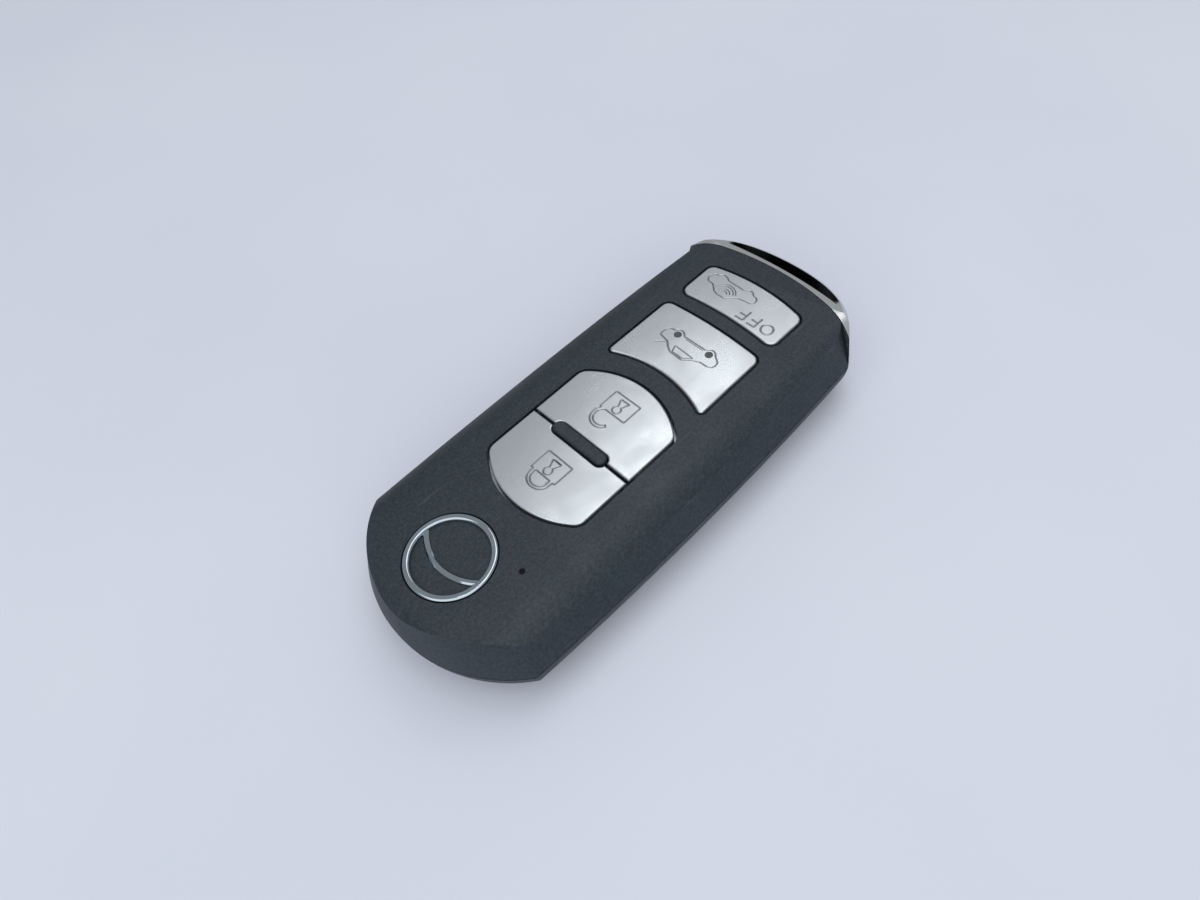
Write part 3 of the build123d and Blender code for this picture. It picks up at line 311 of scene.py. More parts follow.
def guide_finish():
    """Clear plastic coloured nearly black as painted shade for its dark hole. It lets a little light
    in, and its low index keeps its own shine faint.
    """
    # Nearly black base colour: painted shade for the hole behind the clear plastic.
    material, tree, shader, place = new_finish("clear_guide", (0.004, 0.005, 0.006), 0.3)
    shader.inputs["Transmission Weight"].default_value = 0.15
    shader.inputs["IOR"].default_value = 1.2
    haze = noise(tree, place, per_mm=2.0)
    drive(tree, shader, "Roughness", remap(tree, haze, 0.4, 0.6, 0.25, 0.4))
    return material


dress(chrome_finish(), "emblem")
dress(guide_finish(), "light_guide")

# %% [markdown]
# The pieces inside and on the back are seen when the key is pulled out or the casing is opened.
# Each still gets what its making leaves: mould grain on plastic and silicone, sintered pits on
# ferrite, solder mask over faint tracks on the board, windings on the coil, and fine draw lines
# on stamped or milled metal. One function serves the moulded pieces and one the metal pieces.

# %% Moulded pieces
def moulded_finish(name, low, high, roughness, grain_per_mm, grain_depth, sheen=0.0, coat=0.0):
    """Mottled colour between low and high, with even grain in relief."""
    material, tree, shader, place = new_finish(name, low, roughness, coat=coat)
    shader.inputs["Sheen Weight"].default_value = sheen
    mottle = remap(tree, noise(tree, place, per_mm=0.4, detail=4), 0.35, 0.65)
    grain = noise(tree, place, grain_per_mm, detail=2)
    drive(tree, shader, "Base Color", blend_colour(tree, mottle, low, high))
    spread = remap(tree, mottle, 0, 1, roughness - 0.05, roughness + 0.07)
    drive(tree, shader, "Roughness", spread)
    relief(tree, shader, grain, grain_depth, strength=0.7)
    return material


dress(
    moulded_finish(
        "knob_black", low=(0.02, 0.022, 0.024), high=(0.04, 0.043, 0.046),
        roughness=0.45, grain_per_mm=4, grain_depth=0.02,
    ),
    "release_knob", "battery_cap",
)
silicone = moulded_finish(
    "silicone_grey", low=(0.28, 0.29, 0.3), high=(0.36, 0.37, 0.38),
    roughness=0.62, grain_per_mm=3, grain_depth=0.02, sheen=0.2,
)
dress(
    silicone,
    "keypad_mat", "sealing_ring", "lock_dome", "unlock_dome", "trunk_dome", "sensor_dome",
)
dress(
    moulded_finish(
        "module_grey", low=(0.09, 0.09, 0.1), high=(0.14, 0.14, 0.15),
        roughness=0.5, grain_per_mm=3, grain_depth=0.03,
    ),
    "module_base", "module_cover",
)
dress(
    moulded_finish(
        "plunger_black", low=(0.02, 0.02, 0.02), high=(0.05, 0.05, 0.05),
        roughness=0.4, grain_per_mm=6, grain_depth=0.01,
    ),
    "lock_plunger", "unlock_plunger", "trunk_plunger", "sensor_plunger",
)
dress(
    moulded_finish(
        "chip_black", low=(0.015, 0.015, 0.016), high=(0.035, 0.035, 0.036),
        roughness=0.5, grain_per_mm=8, grain_depth=0.01,
    ),
    "control_chip", "radio_chip",
)
dress(
    moulded_finish(
        "chip_ceramic", low=(0.3, 0.22, 0.15), high=(0.42, 0.33, 0.24),
        roughness=0.35, grain_per_mm=8, grain_depth=0.005, coat=0.2,
    ),
    "chip_components",
)
dress(
    moulded_finish(
        "lamp_white", low=(0.8, 0.8, 0.74), high=(0.86, 0.86, 0.8),
        roughness=0.3, grain_per_mm=5, grain_depth=0.005, coat=0.4,
    ),
    "status_led",
)
dress(
    moulded_finish(
        "ferrite", low=(0.03, 0.03, 0.034), high=(0.07, 0.07, 0.075),
        roughness=0.68, grain_per_mm=5, grain_depth=0.03,
    ),
    "coil_core",
)

# %% [markdown]
# The board's solder mask is a thin green gloss over copper tracks. A voronoi pattern whose
# distance is the longer of the steps along the axes gives the tracks their straight edges,
# without drawing any one circuit. The winding is fine enamelled wire laid flat, which shows as
# close even lines round the hub.

# %% Board and winding
def board_finish():
    """Green gloss with raised bands of a paler green."""
    material, tree, shader, place = new_finish("board_green", (0.01, 0.11, 0.045), 0.3, coat=0.5)
    tracks = tree.nodes.new("ShaderNodeTexVoronoi")
    tracks.distance = "CHEBYCHEV"
    tracks.inputs["Scale"].default_value = 0.6 / MM
    tree.links.new(place, tracks.inputs["Vector"])
    band = remap(tree, tracks.outputs["Distance"], 0.32, 0.36)
    greens = blend_colour(tree, band, (0.012, 0.13, 0.05), (0.005, 0.07, 0.03))
    drive(tree, shader, "Base Color", greens)
    relief(tree, shader, band, depth_mm=0.02, strength=0.6)
    return material


def winding_finish():
    """Enamelled copper in bands along z, one for each layer of wire."""
    material, tree, shader, place = new_finish(
        "winding_copper", (0.55, 0.21, 0.09), 0.3, metallic=0.9, coat=0.4
    )
    wires = tree.nodes.new("ShaderNodeTexWave")
    wires.bands_direction = "Z"
    wires.inputs["Scale"].default_value = 1.6 / MM
    wires.inputs["Distortion"].default_value = 0.4
    tree.links.new(place, wires.inputs["Vector"])
    coppers = blend_colour(tree, wires.outputs["Fac"], (0.3, 0.09, 0.04), (0.62, 0.26, 0.11))
    drive(tree, shader, "Base Color", coppers)
    relief(tree, shader, wires.outputs["Fac"], depth_mm=0.06, strength=0.8)
    return material


dress(board_finish(), "circuit_board")
dress(winding_finish(), "coil_winding")

# %% [markdown]
# Stamped, drawn and milled metal shows fine lines in the direction of the work. They come from
# noise that is stretched along one axis, which spreads the highlight the other way.
# The blade's lines run along its length, as its sides are ground that way before plating.

# %% Metal pieces
STAIN_SHADE = 0.78


def metal_finish(name, colour, roughness, lines):
    """Metal with draw lines along x: noise squeezed across them by `lines` times."""
    material, tree, shader, place = new_finish(name, colour, roughness, metallic=1.0)
    drawn = noise(tree, stretch(tree, place, (1, lines, 1)), per_mm=0.5, detail=5)
    stain = remap(tree, noise(tree, place, per_mm=0.12, detail=4), 0.4, 0.7)
    stained = tuple(channel * STAIN_SHADE for channel in colour)
    drive(tree, shader, "Base Color", blend_colour(tree, stain, colour, stained))
    spread = remap(tree, drawn, 0.35, 0.65, roughness - 0.08, roughness + 0.1)
    drive(tree, shader, "Roughness", spread)
    relief(tree, shader, drawn, depth_mm=0.006, strength=0.5)
    return material


dress(
    metal_finish("blade_steel", (0.63, 0.62, 0.6), roughness=0.27, lines=25),
    "key_blade", "bow_pin",
)
spring_steel = metal_finish("spring_steel", (0.55, 0.55, 0.54), roughness=0.3, lines=4)
dress(spring_steel, "release_spring")
dress(metal_finish("cell_steel", (0.66, 0.66, 0.65), roughness=0.24, lines=8), "battery")
dress(
    metal_finish("contact_steel", (0.72, 0.68, 0.56), roughness=0.3, lines=12),
    "positive_contact", "negative_contact",
)
dress(
    metal_finish("switch_steel", (0.62, 0.62, 0.61), roughness=0.32, lines=10),
    "lock_switch", "unlock_switch", "trunk_switch", "sensor_switch", "crystal",
)

# %% [markdown]
# The marks on the keys are engraved, so each is a groove that follows the crowned key top. The
# first thing to know is that surface. It is a cylinder that lies along the fob. Its highest line
# is the top of a key's box, and its radius is a driving size of the part, so both are known
# exactly and nothing has to be measured on the mesh.

# %% The crowned surface of the key tops
CROWN_RADIUS = 220.15
KEY_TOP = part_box("trunk_button")[1].z / MM
EDGE_Y = 9.0


def crown_height(y):
    """Height in mm of the key tops at y: the top line less the sagitta of the crown circle there."""
    return KEY_TOP - (CROWN_RADIUS - np.sqrt(CROWN_RADIUS**2 - y**2))


drop = float(KEY_TOP - crown_height(EDGE_Y))
print("key top", round(KEY_TOP, 3), "drop", round(drop, 3), "at", EDGE_Y)

# %% [markdown]
# A mark starts as a path in the plan of the key: straight runs with rounded corners, and arcs.
# Points along the path are set close together, so a groove that follows them looks smooth.

# %% Paths of the marks
PATH_STEP = 0.08
FEWEST_ON_PATH = 4
POINTS_PER_CORNER = 7
ARC_STEP_DEG = 7
FEWEST_ON_ARC = 8


def curve_through(points, closed, corner):
    """Path of a stroke: straight runs between the points, with every corner cut by a quadratic
    curve. A curve starts and ends `corner` mm from its corner point, or half a run if that is less.
    Returns points about a step apart. A closed path doesn't repeat its first point."""
    points = np.array(points, float)
    count = len(points)
    corners = range(count) if closed else range(1, count - 1)
    path = [] if closed else [points[:1]]
    blend = np.linspace(0, 1, POINTS_PER_CORNER)[:, None]
    for index in corners:
        before, here, after = points[index - 1], points[index], points[(index + 1) % count]
        reach_in = min(corner, np.linalg.norm(before - here) / 2)
        reach_out = min(corner, np.linalg.norm(after - here) / 2)
        start = here + (before - here) / np.linalg.norm(before - here) * reach_in
        end = here + (after - here) / np.linalg.norm(after - here) * reach_out
        path.append((1 - blend) ** 2 * start + 2 * blend * (1 - blend) * here + blend**2 * end)
    path.append(path[0][:1] if closed else points[-1:])
    path = np.concatenate(path)
    run = np.concatenate([[0], np.cumsum(np.linalg.norm(np.diff(path, axis=0), axis=1))])
    even = np.linspace(0, run[-1], max(FEWEST_ON_PATH, int(run[-1] / PATH_STEP) + 1))
    path = np.stack([np.interp(even, run, path[:, 0]), np.interp(even, run, path[:, 1])], axis=1)
    return path[:-1] if closed else path


def arc(centre, radius, start_deg, end_deg, flat=1.0):
    """Points of an arc about a centre: x is the radius times `flat` times the cosine of the angle,
    and y the radius times its sine."""
    count = max(FEWEST_ON_ARC, int(abs(end_deg - start_deg) / ARC_STEP_DEG))
    angle = np.radians(np.linspace(start_deg, end_deg, count))
    return np.stack(
        [centre[0] + radius * flat * np.cos(angle), centre[1] + radius * np.sin(angle)], axis=1
    )


print("points on a full circle", len(arc((0, 0), 1, 0, 360)))

# %% [markdown]
# The cutter of a groove is a closed solid with four long sides: narrow at the floor of the groove
# and wide at its mouth, which stands a little above the key so that the cut is clean. It is one
# profile carried along the path. A painted line would be quicker, but only a real groove has one
# wall in light and one in shade from any side.

# %% The cutter of a groove
GROOVE_WIDTH = 0.31
GROOVE_DEPTH = 0.14
MOUTH_RISE = 0.06
FLOOR_SHARE = 0.35


def groove(points, closed=True, width=GROOVE_WIDTH, depth=GROOVE_DEPTH, corner=0.12):
    """Groove along straight runs through the points, with rounded corners."""
    return curve_through(points, closed, corner), width, depth, closed


def carried(path, across, height, closed):
    """Closed solid of a profile of four corners carried along a path. Each corner lies `across` mm
    to the side of the path point, along the path's normal there. Its height has one row for each
    path point and one column for each corner."""
    if closed:
        ahead = np.roll(path, -1, axis=0) - np.roll(path, 1, axis=0)
    else:
        ahead = np.gradient(path, axis=0)
    ahead /= np.linalg.norm(ahead, axis=1, keepdims=True)
    side = np.stack([-ahead[:, 1], ahead[:, 0]], axis=1)
    plan = path[:, None, :] + np.array(across)[None, :, None] * side[:, None, :]
    points = np.concatenate([plan, height[:, :, None]], axis=2)
    rows = len(path)
    row = np.arange(rows if closed else rows - 1)[:, None]
    after = (row + 1) % rows
    here = np.arange(4)[None, :]
    beside = (here + 1) % 4
    faces = np.stack(
        [row * 4 + here, row * 4 + beside, after * 4 + beside, after * 4 + here], axis=2
    ).reshape(-1, 4)
    if not closed:
        last = 4 * (rows - 1)
        faces = np.concatenate([faces, [[3, 2, 1, 0], [last, last + 1, last + 2, last + 3]]])
    return points.reshape(-1, 3) * MM, faces


def cutter(path, width, depth, closed):
    """Solid of a groove, in the order floor, floor, mouth, mouth round its profile. The mouth is
    widened in proportion to its rise, so that the walls stay straight."""
    mouth = width * (1 + (1 - FLOOR_SHARE) * MOUTH_RISE / depth) / 2
    floor = width * FLOOR_SHARE / 2
    lift = np.array([-depth, -depth, MOUTH_RISE, MOUTH_RISE])
    height = crown_height(path[:, 1])[:, None] + lift[None, :]
    return carried(path, (-floor, floor, mouth, -mouth), height, closed)


def mesh_from(name, points, faces):
    """Mesh of these points and faces, turned outwards: the volume is summed over the fans of the
    faces, and where it is negative every face is turned round."""
    corners = points[faces]
    first, second, third, fourth = (corners[:, index] for index in range(4))
    fans = np.cross(second - first, third - first) + np.cross(third - first, fourth - first)
    if np.sum(fans * first) < 0:
        faces = faces[:, ::-1]
    mesh = bpy.data.meshes.new(name)
    mesh.from_pydata(points.tolist(), [], faces.tolist())
    return mesh


sample_points, sample_faces = cutter(*groove([(0, 0), (1, 0)], closed=False))
print("cutter of 1 mm:", len(sample_points), "points and", len(sample_faces), "faces")

# %% [markdown]
# The key itself stays as the model gives it. A merged copy of its mesh stands in for it, because
# a Boolean needs a closed mesh, and the model's faces are loose triangles.

# %% A merged copy of a piece
MERGE_GAP = 0.0002
SMOOTH_BELOW = math.radians(28)


def placed(name, data):
    """New object in the scene for this mesh, lamp or camera."""
    thing = bpy.data.objects.new(name, data)
    bpy.context.scene.collection.objects.link(thing)
    return thing


def merged_copy(node, name):
    """New object whose mesh is a CAD node's, with its loose triangles joined at their corners. The
    normals that the node carries don't fit a changed mesh, so they are left off."""
    merged = bmesh.new()
    merged.from_mesh(nodes[node].data)
    bmesh.ops.remove_doubles(merged, verts=merged.verts, dist=MERGE_GAP * MM)
    mesh = bpy.data.meshes.new(name)
    merged.to_mesh(mesh)
    merged.free()
    mesh.attributes.remove(mesh.attributes["custom_normal"])
    return placed(name, mesh)


def coat_with(piece, material):
    """Gives a copied piece one material, and smooth shading between faces that meet gently."""
    piece.data.materials.clear()
    piece.data.materials.append(material)
    piece.data.shade_smooth()
    piece.data.set_sharp_from_angle(angle=SMOOTH_BELOW)


print("loose triangles of a key", len(nodes["trunk_button"].data.polygons))

# %% [markdown]
# Two things are worked out on the cut mesh. Each point is told how deep it lies below the crown,
# and the lacquer gets painted shade on the floor of a groove, where its walls shade it. The cuts
# also leave long thin triangles on the key top, which would streak the light, so its corners get the
# normals of the crown itself.

# %% Painted shade in the grooves and a smooth crown
# Depth below the crown at which the painted shade of a groove is full.
GROOVE_SHADE_DEPTH = 0.09
CROWN_GAP = 0.004
LOOKS_UP = 0.85


def points_of(mesh):
    """Places of a mesh's points in mm, one row for each."""
    points = np.empty(len(mesh.vertices) * 3)
    mesh.vertices.foreach_get("co", points)
    return points.reshape(-1, 3) / MM


def mark_grooves(mesh, path):
    """Writes the attribute "groove": how far each point near a path lies below the crown, as a
    share of the depth at which its painted shade is full. Points far from every path get zero."""
    points = points_of(mesh)
    gaps = np.linalg.norm(points[:, None, :2] - path[None, :, :], axis=2).min(axis=1)
    depth = (crown_height(points[:, 1]) - points[:, 2]) / GROOVE_SHADE_DEPTH
    share = np.where(gaps < GROOVE_WIDTH, np.clip(depth, 0, 1), 0)
    mesh.attributes.new("groove", "FLOAT", "POINT").data.foreach_set("value", share)


def true_crown(mesh):
    """Gives each corner that lies on the crown, in a face that looks up, the crown's own normal
    there: it leans outwards by y over the radius. The cuts leave long thin triangles on the key
    top, and normals averaged over them would streak the light."""
    points = points_of(mesh)
    owner = np.empty(len(mesh.loops), int)
    mesh.loops.foreach_get("vertex_index", owner)
    sides = np.empty(len(mesh.polygons), int)
    mesh.polygons.foreach_get("loop_total", sides)
    upward = np.empty(len(mesh.polygons) * 3)
    mesh.polygons.foreach_get("normal", upward)
    upward = np.repeat(upward.reshape(-1, 3)[:, 2] > LOOKS_UP, sides)
    lean = points[:, 1] / CROWN_RADIUS
    crown = np.stack([np.zeros_like(lean), lean, np.sqrt(1 - lean**2)], axis=1)
    on_crown = np.abs(crown_height(points[:, 1]) - points[:, 2]) < CROWN_GAP
    normals = np.empty(len(mesh.loops) * 3)
    mesh.corner_normals.foreach_get("vector", normals)
    chosen = (upward & on_crown[owner])[:, None]
    normals = np.where(chosen, crown[owner], normals.reshape(-1, 3))
    mesh.normals_split_custom_set(normals.tolist())
    print("  corners on the crown", int(chosen.sum()), "of", len(owner))


print("crown leans", round(math.degrees(math.asin(EDGE_Y / CROWN_RADIUS)), 2), "degrees at", EDGE_Y)

# %% [markdown]
# A Boolean takes the cutters away from the copy one after another. The volume that each takes
# shows that it did cut. The copy then moves with its key and takes the key's place.

# %% A key with its grooves
def volume_of(mesh):
    """Volume of a closed mesh in cubic mm."""
    work = bmesh.new()
    work.from_mesh(mesh)
    volume = work.calc_volume(signed=True)
    work.free()
    return volume / MM**3


def baked(thing):
    """Mesh of an object as its modifiers leave it."""
    return bpy.data.meshes.new_from_object(
        thing.evaluated_get(bpy.context.evaluated_depsgraph_get())
    )


def engrave(node, name, body, grooves):
    """Copy of a CAD key with these grooves cut into it one after another."""
    piece = merged_copy(node, name)
    solid = volume_of(piece.data)
    for path, width, depth, closed in grooves:
        tool = placed("groove_tool", mesh_from("groove_tool", *cutter(path, width, depth, closed)))
        cut = piece.modifiers.new("groove", "BOOLEAN")
        cut.operation = "DIFFERENCE"
        cut.solver = "MANIFOLD"
        cut.object = tool
        piece.data = baked(piece)
        piece.modifiers.clear()
        bpy.data.objects.remove(tool)
        left = volume_of(piece.data)
        print("  cut", round(solid - left, 5), "mm3")
        solid = left
    mark_grooves(piece.data, np.concatenate([path for path, _, _, _ in grooves]))
    piece.data.name = name
    coat_with(piece, key_lacquer)
    true_crown(piece.data)
    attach(piece, body)
    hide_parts(node)
    print(name, "grooves", len(grooves), "faces", len(piece.data.polygons))


print("keys to engrave", [name for name in nodes if name.endswith("_button")])

# %% [markdown]
# The marks read with the badge end up. Their places are in the frame of the part: x grows
# towards the key ring and y to the right of a reader who holds the badge end up.
# A padlock is a closed outline of body and shackle, with the keyhole as an outline of its own.
# In the closed one both ends of the shackle are in the body, and its inside is a third outline.
# In the open one the shackle has turned out of the body on one side, so a single outline runs
# along both sides of it. Both share the keyhole and the body's size.

# %% Padlocks on the lock and unlock keys
LOCK_TOP_X = -14.2
UNLOCK_TOP_X = -0.6
UNLOCK_MIDDLE = 0.14
PADLOCK_HEIGHT = 3.43
PADLOCK_HALF = 2.4
SHACKLE_RISE = 0.6
SHACKLE_OUTER, OUTER_FLAT = 1.95, 0.88
SHACKLE_INNER, INNER_FLAT = 1.42, 0.93
OPEN_CENTRE = (-1.8, 0.78)
OPEN_OUTER, OPEN_INNER = 1.88, 1.4
OPEN_END_DEG = 238
KEYHOLE_DROP, KEYHOLE_RADIUS, NECK_DEG = 1.0, 0.66, 24
WEDGE_DROP, WEDGE_HALF = 2.8, 0.82


def keyhole(top_x, middle):
    """Round hole and a wedge that widens downwards, as one outline: the wedge's two corners, then
    the circle from one side of the wedge's neck round to the other."""
    wedge_x = top_x + WEDGE_DROP
    circle = arc((top_x + KEYHOLE_DROP, middle), KEYHOLE_RADIUS, -NECK_DEG, NECK_DEG - 360)
    wedge = [(wedge_x, middle + WEDGE_HALF), (wedge_x, middle - WEDGE_HALF)]
    return np.concatenate([wedge, circle])


lock_low_x = LOCK_TOP_X + PADLOCK_HEIGHT
closed_centre = (LOCK_TOP_X - SHACKLE_RISE, 0)
closed_outline = np.concatenate(
    [
        [(LOCK_TOP_X, -PADLOCK_HALF), (LOCK_TOP_X, -SHACKLE_OUTER)],
        arc(closed_centre, SHACKLE_OUTER, 270, 90, flat=OUTER_FLAT),
        [(LOCK_TOP_X, SHACKLE_OUTER), (LOCK_TOP_X, PADLOCK_HALF)],
        [(lock_low_x, PADLOCK_HALF), (lock_low_x, -PADLOCK_HALF)],
    ]
)
closed_inside = np.concatenate(
    [
        [(LOCK_TOP_X, -SHACKLE_INNER)],
        arc(closed_centre, SHACKLE_INNER, 270, 90, flat=INNER_FLAT),
        [(LOCK_TOP_X, SHACKLE_INNER)],
    ]
)
engrave(
    "lock_button", "lock_cap", "lock_key",
    [groove(closed_outline), groove(closed_inside), groove(keyhole(LOCK_TOP_X, 0))],
)
unlock_low_x = UNLOCK_TOP_X + PADLOCK_HEIGHT
unlock_left, unlock_right = UNLOCK_MIDDLE - PADLOCK_HALF, UNLOCK_MIDDLE + PADLOCK_HALF
open_outline = np.concatenate(
    [
        arc(OPEN_CENTRE, OPEN_OUTER, OPEN_END_DEG, 50),
        [(UNLOCK_TOP_X, unlock_right), (unlock_low_x, unlock_right)],
        [(unlock_low_x, unlock_left), (UNLOCK_TOP_X, unlock_left)],
        arc(OPEN_CENTRE, OPEN_INNER, 30, OPEN_END_DEG),
    ]
)
engrave(
    "unlock_button", "unlock_cap", "unlock_key",
    [groove(open_outline), groove(keyhole(UNLOCK_TOP_X, UNLOCK_MIDDLE))],
)

# %% [markdown]
# The trunk key shows a car from the side with its rear lid raised. One open path runs from the
# sill round both tyres and over the roof, and a straight groove closes it along the sill. The
# window is a path of its own, a fine line runs beside the sill, and a short one is the raised lid.
# The wheels are dark: a disc of paint lies inside each tyre.

# %% Car with its lid open on the trunk key
WHEEL_X = 16.5
WHEEL_Y = 3.1
SILL_X = 16.85
SILL_HALF = 2.1
SILL_LINE_X = SILL_X - 0.3
TYRE_RADIUS = 0.98
trunk_outline = np.concatenate(
    [
        [(SILL_X, SILL_HALF)],
        arc((WHEEL_X, WHEEL_Y), TYRE_RADIUS, -45, 62),
        [(16.85, 4.8), (16.3, 5.2), (15.6, 5.35), (14.95, 5.2), (14.6, 3.5), (13.75, 2.55)],
        [(13.3, 1.75), (13.15, -0.55), (14.2, -2.0), (14.6, -3.0), (14.65, -4.25), (14.95, -4.95)],
        [(15.5, -5.2), (16.2, -5.05), (16.6, -4.5)],
        arc((WHEEL_X, -WHEEL_Y), TYRE_RADIUS, -62, 45),
        [(SILL_X, -SILL_HALF)],
    ]
)
trunk_sill = [(SILL_X, -SILL_HALF), (SILL_X, SILL_HALF)]
trunk_sill_line = [(SILL_LINE_X, -1.9), (SILL_LINE_X, 1.6)]
trunk_window = [(14.65, 1.95), (13.5, 1.5), (13.45, -0.45), (14.45, -1.75)]
trunk_lid = [(14.6, 3.5), (13.35, 4.9)]
trunk_mark = [
    groove(trunk_outline, closed=False),
    groove(trunk_sill, closed=False),
    groove(trunk_sill_line, closed=False, width=0.18, depth=0.1),
    groove(trunk_window, width=0.24),
    groove(trunk_lid, closed=False, width=0.3),
]
engrave("trunk_button", "trunk_cap", "trunk_key", trunk_mark)

# %% [markdown]
# The paint of the wheels is a thin skin on the key top. A disc is a surface of angle and radius,
# laid on the crown. Solidify turns it into a closed sheet, half sunk in the key.

# %% Dark wheels
PAINT_RADIUS = 0.62
PAINT_PROUD = 0.012
PAINT_DEPTH = 0.03
HUB_RADIUS = 0.02
WELD_GAP = 0.002
SPOKES = 32
RINGS = 4


def disc(centre):
    """Disc on the crown, one row for each angle and one column for each radius from the rim to a
    tiny hub. x and y are the centre plus the radius times the cosine and sine of the angle, and z
    is the crown's height there plus the paint's."""
    angle = np.linspace(0, 2 * np.pi, SPOKES + 1)[:, None]
    reach = np.linspace(PAINT_RADIUS, HUB_RADIUS, RINGS)[None, :]
    x = centre[0] + np.cos(angle) * reach
    y = centre[1] + np.sin(angle) * reach
    points = np.stack([x, y, crown_height(y) + PAINT_PROUD], axis=-1).reshape(-1, 3)
    first = (np.arange(SPOKES)[:, None] * RINGS + np.arange(RINGS - 1)).ravel()
    faces = np.stack([first, first + 1, first + RINGS + 1, first + RINGS], axis=1)
    return points * MM, faces


def mark_finish():
    """Dark grey paint with a fine speck."""
    material, tree, shader, place = new_finish("mark_grey", (0.05, 0.055, 0.06), 0.55)
    speck = remap(tree, noise(tree, place, per_mm=4.0, detail=2), 0.35, 0.65)
    shade = blend_colour(tree, speck, (0.04, 0.045, 0.05), (0.085, 0.09, 0.095))
    drive(tree, shader, "Base Color", shade)
    return material


near_points, near_faces = disc((WHEEL_X, WHEEL_Y))
far_points, far_faces = disc((WHEEL_X, -WHEEL_Y))
wheel_points = np.concatenate([near_points, far_points])
wheel_faces = np.concatenate([near_faces, far_faces + len(near_points)])
wheel_mesh = bpy.data.meshes.new("trunk_wheels")
wheel_mesh.from_pydata(wheel_points.tolist(), [], wheel_faces.tolist())
wheel_mesh.flip_normals()
wheel_mesh.materials.append(mark_finish())
wheels = placed("trunk_wheels", wheel_mesh)
weld = wheels.modifiers.new("weld", "WELD")
weld.merge_threshold = WELD_GAP * MM
skin = wheels.modifiers.new("skin", "SOLIDIFY")
skin.thickness = PAINT_DEPTH * MM
skin.offset = -1
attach(wheels, "trunk_key")
print("wheel faces look up", wheel_mesh.polygons[0].normal.z > 0)

# %% [markdown]
# The sensor key is labelled OFF, beside a car with the waves of its alarm sensor inside it.
# The letters are wider grooves than the drawing: a ring for the O, and two for each F. The stem
# of an F turns into its upper arm. The middle arm starts on the stem's own line, so they join.

# %% OFF and the car with sensor waves
WAVES_AT = (27.0, 3.55)
WAVE_RADII = (0.75, 1.2, 1.75, 2.15)
O_CENTRE = (25.75, -6.4)
O_RADIUS = 0.95
STEM_PLACES = (-4.6, -2.4)
LETTER_TOP_X = 24.85
LETTER_LOW_X = 26.9
MIDDLE_ARM_X = LETTER_TOP_X + 1.0
UPPER_ARM, MIDDLE_ARM = 1.45, 1.25
LETTER_WIDTH = 0.36
LETTER_DEPTH = 0.17
LETTER_CORNER = 0.15
sensor_outline = [
    (27.95, 7.15), (28.4, 7.55), (28.9, 7.6), (29.75, 7.2), (29.85, 6.5), (30.35, 6.0),
    (30.25, 5.2), (29.8, 4.5), (29.7, 1.55), (29.95, 1.0), (30.3, 0.5), (30.15, -0.1),
    (29.75, -0.45), (29.65, -1.05), (29.3, -1.5), (28.7, -1.6), (28.2, -1.2), (28.05, -0.5),
    (27.85, 1.0), (26.5, 2.7), (26.5, 4.1), (26.8, 5.0), (27.45, 5.65), (27.85, 6.2),
]
sensor_mark = [groove(sensor_outline, width=0.27, depth=0.13, corner=0.14)]
for radius in WAVE_RADII:
    wave = arc(WAVES_AT, radius, -62, 72)
    sensor_mark.append(groove(wave, closed=False, width=0.2, depth=0.11))
ring = arc(O_CENTRE, O_RADIUS, 0, 345)
sensor_mark.append(groove(ring, width=LETTER_WIDTH, depth=LETTER_DEPTH))
for stem_y in STEM_PLACES:
    upper_y, middle_y = stem_y + UPPER_ARM, stem_y + MIDDLE_ARM
    for run in (
        [(LETTER_LOW_X, stem_y), (LETTER_TOP_X, stem_y), (LETTER_TOP_X, upper_y)],
        [(MIDDLE_ARM_X, stem_y), (MIDDLE_ARM_X, middle_y)],
    ):
        sensor_mark.append(groove(run, False, LETTER_WIDTH, LETTER_DEPTH, LETTER_CORNER))
engrave("sensor_button", "sensor_cap", "sensor_key", sensor_mark)

# %% [markdown]
# The silicone domes under the keys and the return spring of the release knob give way when they
# are pressed. A merged copy of each, in its finish, stands in for it and stays with the housing.


def give_way(node, name, material):
    """Copy of a CAD node in this material, carried by the housing in the node's place."""
    piece = merged_copy(node, name)
    coat_with(piece, material)
    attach(piece, "housing")
    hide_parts(node)
    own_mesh(piece)


for key in ("lock", "unlock", "trunk", "sensor"):
    give_way(
        key + "_dome", key + "_cushion",
        silicone,
    )
give_way(
    "release_spring", "knob_spring",
    spring_steel,
)

# %% [markdown]
# The fob lies on a plain pale table. One big plane is enough: its edge is out of view.
# A faint cool tint and a very soft unevenness keep it from looking computed.

# %% Table
TABLE_HALF = 1.5


def table_finish():
    """Pale blue-grey with wide soft clouds."""
    material, tree, shader, place = new_finish("table_pale", (0.64, 0.675, 0.765), 0.6)
    shader.inputs["Specular IOR Level"].default_value = 0.25
    cloud = remap(tree, noise(tree, place, per_mm=0.01, detail=3), 0.3, 0.7)
    shade = blend_colour(tree, cloud, (0.62, 0.655, 0.75), (0.66, 0.695, 0.78))
    drive(tree, shader, "Base Color", shade)
    return material


table_corners = TABLE_HALF * np.array([(-1, -1, 0), (1, -1, 0), (1, 1, 0), (-1, 1, 0)])
table_mesh = bpy.data.meshes.new("table")
table_mesh.from_pydata(table_corners.tolist(), [], [(0, 1, 2, 3)])
table_mesh.materials.append(table_finish())
table = placed("table", table_mesh)
print("table", 2 * TABLE_HALF, "m wide")

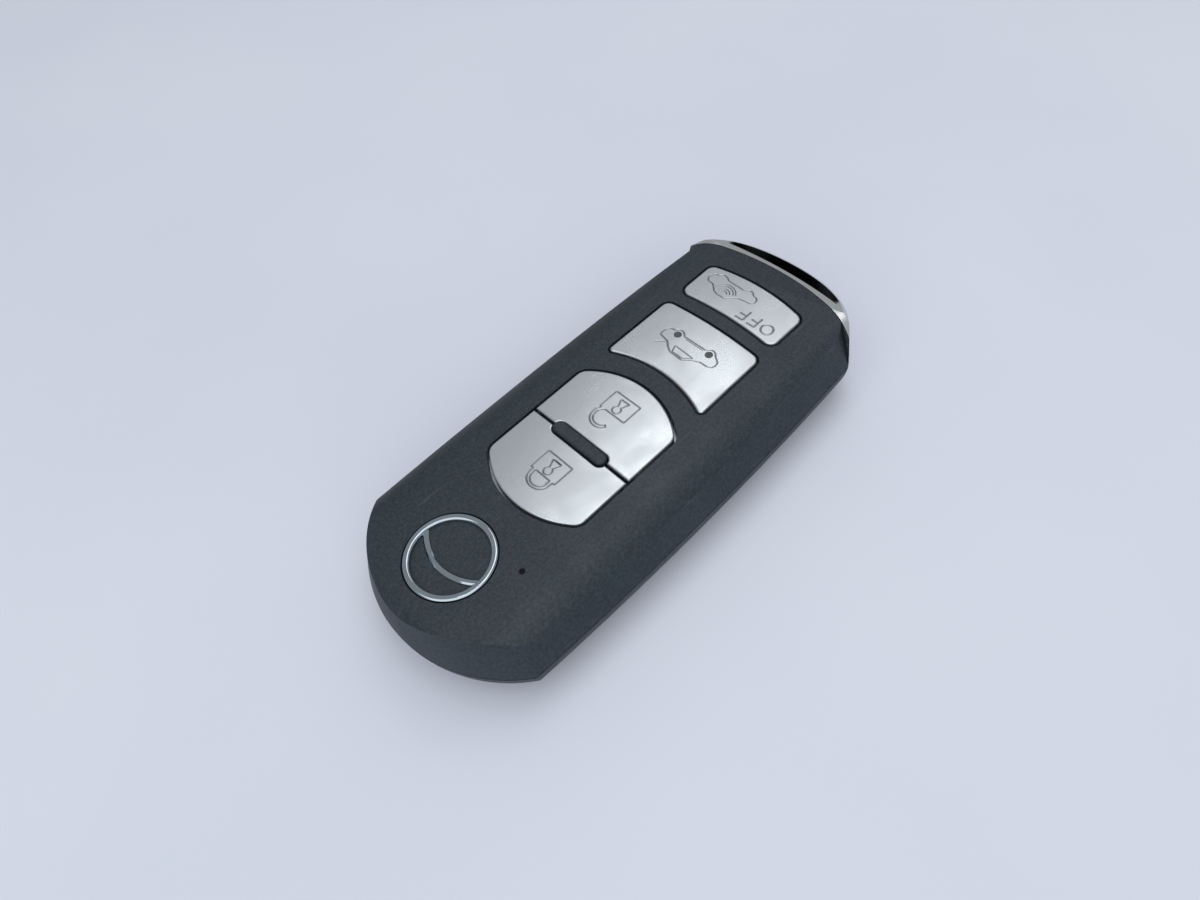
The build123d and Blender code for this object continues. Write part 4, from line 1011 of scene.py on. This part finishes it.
# %% [markdown]
# The light is soft and comes mostly from above. A wide dim panel on the viewer's side stands for
# a pale ceiling: it lights the table evenly and shows in the rims that face the viewer. A smaller,
# brighter lamp stands for the window. The key tops mirror its edge, so each is bright towards one
# corner and grey towards the other. An even pale world fills the rest.

# %% Lamps and sky
def area_lamp(name, place, size, power, colour):
    """Square area lamp at a place in metres, aimed at the fob."""
    data = bpy.data.lights.new(name, "AREA")
    data.size = size
    data.energy = power
    data.color = colour
    aim = (-Vector(place)).to_track_quat("-Z", "Y").to_matrix().to_4x4()
    placed(name, data).matrix_world = Matrix.Translation(place) @ aim
    print(name, "at", place, "power", power)


area_lamp(
    "window_lamp", (0.245, 0.105, 0.648), size=0.42, power=1.0, colour=(1.0, 0.99, 0.98)
)
area_lamp(
    "ceiling_lamp", (-0.35, -0.3, 0.65), size=1.3, power=6.0, colour=(0.97, 0.985, 1.0)
)
world = bpy.data.worlds.new("sky")
bpy.context.scene.world = world
world.use_nodes = True
sky = world.node_tree.nodes["Background"]
sky.inputs["Color"].default_value = (0.95, 0.98, 1.0, 1)
sky.inputs["Strength"].default_value = 0.42

# %% [markdown]
# The camera stands where the photo was taken from. Its place was found by matching known points
# of the fob, and is written as where it stands, which way it looks and which way its right side
# points.

# %% Camera
CAMERA_PLACE = Vector((-45.534, -59.222, 113.429)) * MM
LOOKS = Vector((0.32777, 0.46651, -0.821544)).normalized()
RIGHT = Vector((0.709154, -0.69605, -0.112319)).normalized()
UP = RIGHT.cross(LOOKS)
SENSOR_WIDTH = 36
FOCAL_LENGTH = 26.018
camera_data = bpy.data.cameras.new("camera")
camera_data.sensor_width = SENSOR_WIDTH
camera_data.lens = FOCAL_LENGTH
camera_data.clip_start = 0.005
camera = placed("camera", camera_data)
camera.matrix_world = Matrix(
    (
        (RIGHT.x, UP.x, -LOOKS.x, CAMERA_PLACE.x),
        (RIGHT.y, UP.y, -LOOKS.y, CAMERA_PLACE.y),
        (RIGHT.z, UP.z, -LOOKS.z, CAMERA_PLACE.z),
        (0, 0, 0, 1),
    )
)
bpy.context.scene.camera = camera
bpy.context.scene.view_settings.view_transform = "Standard"
print("camera at", [round(v / MM, 1) for v in CAMERA_PLACE])
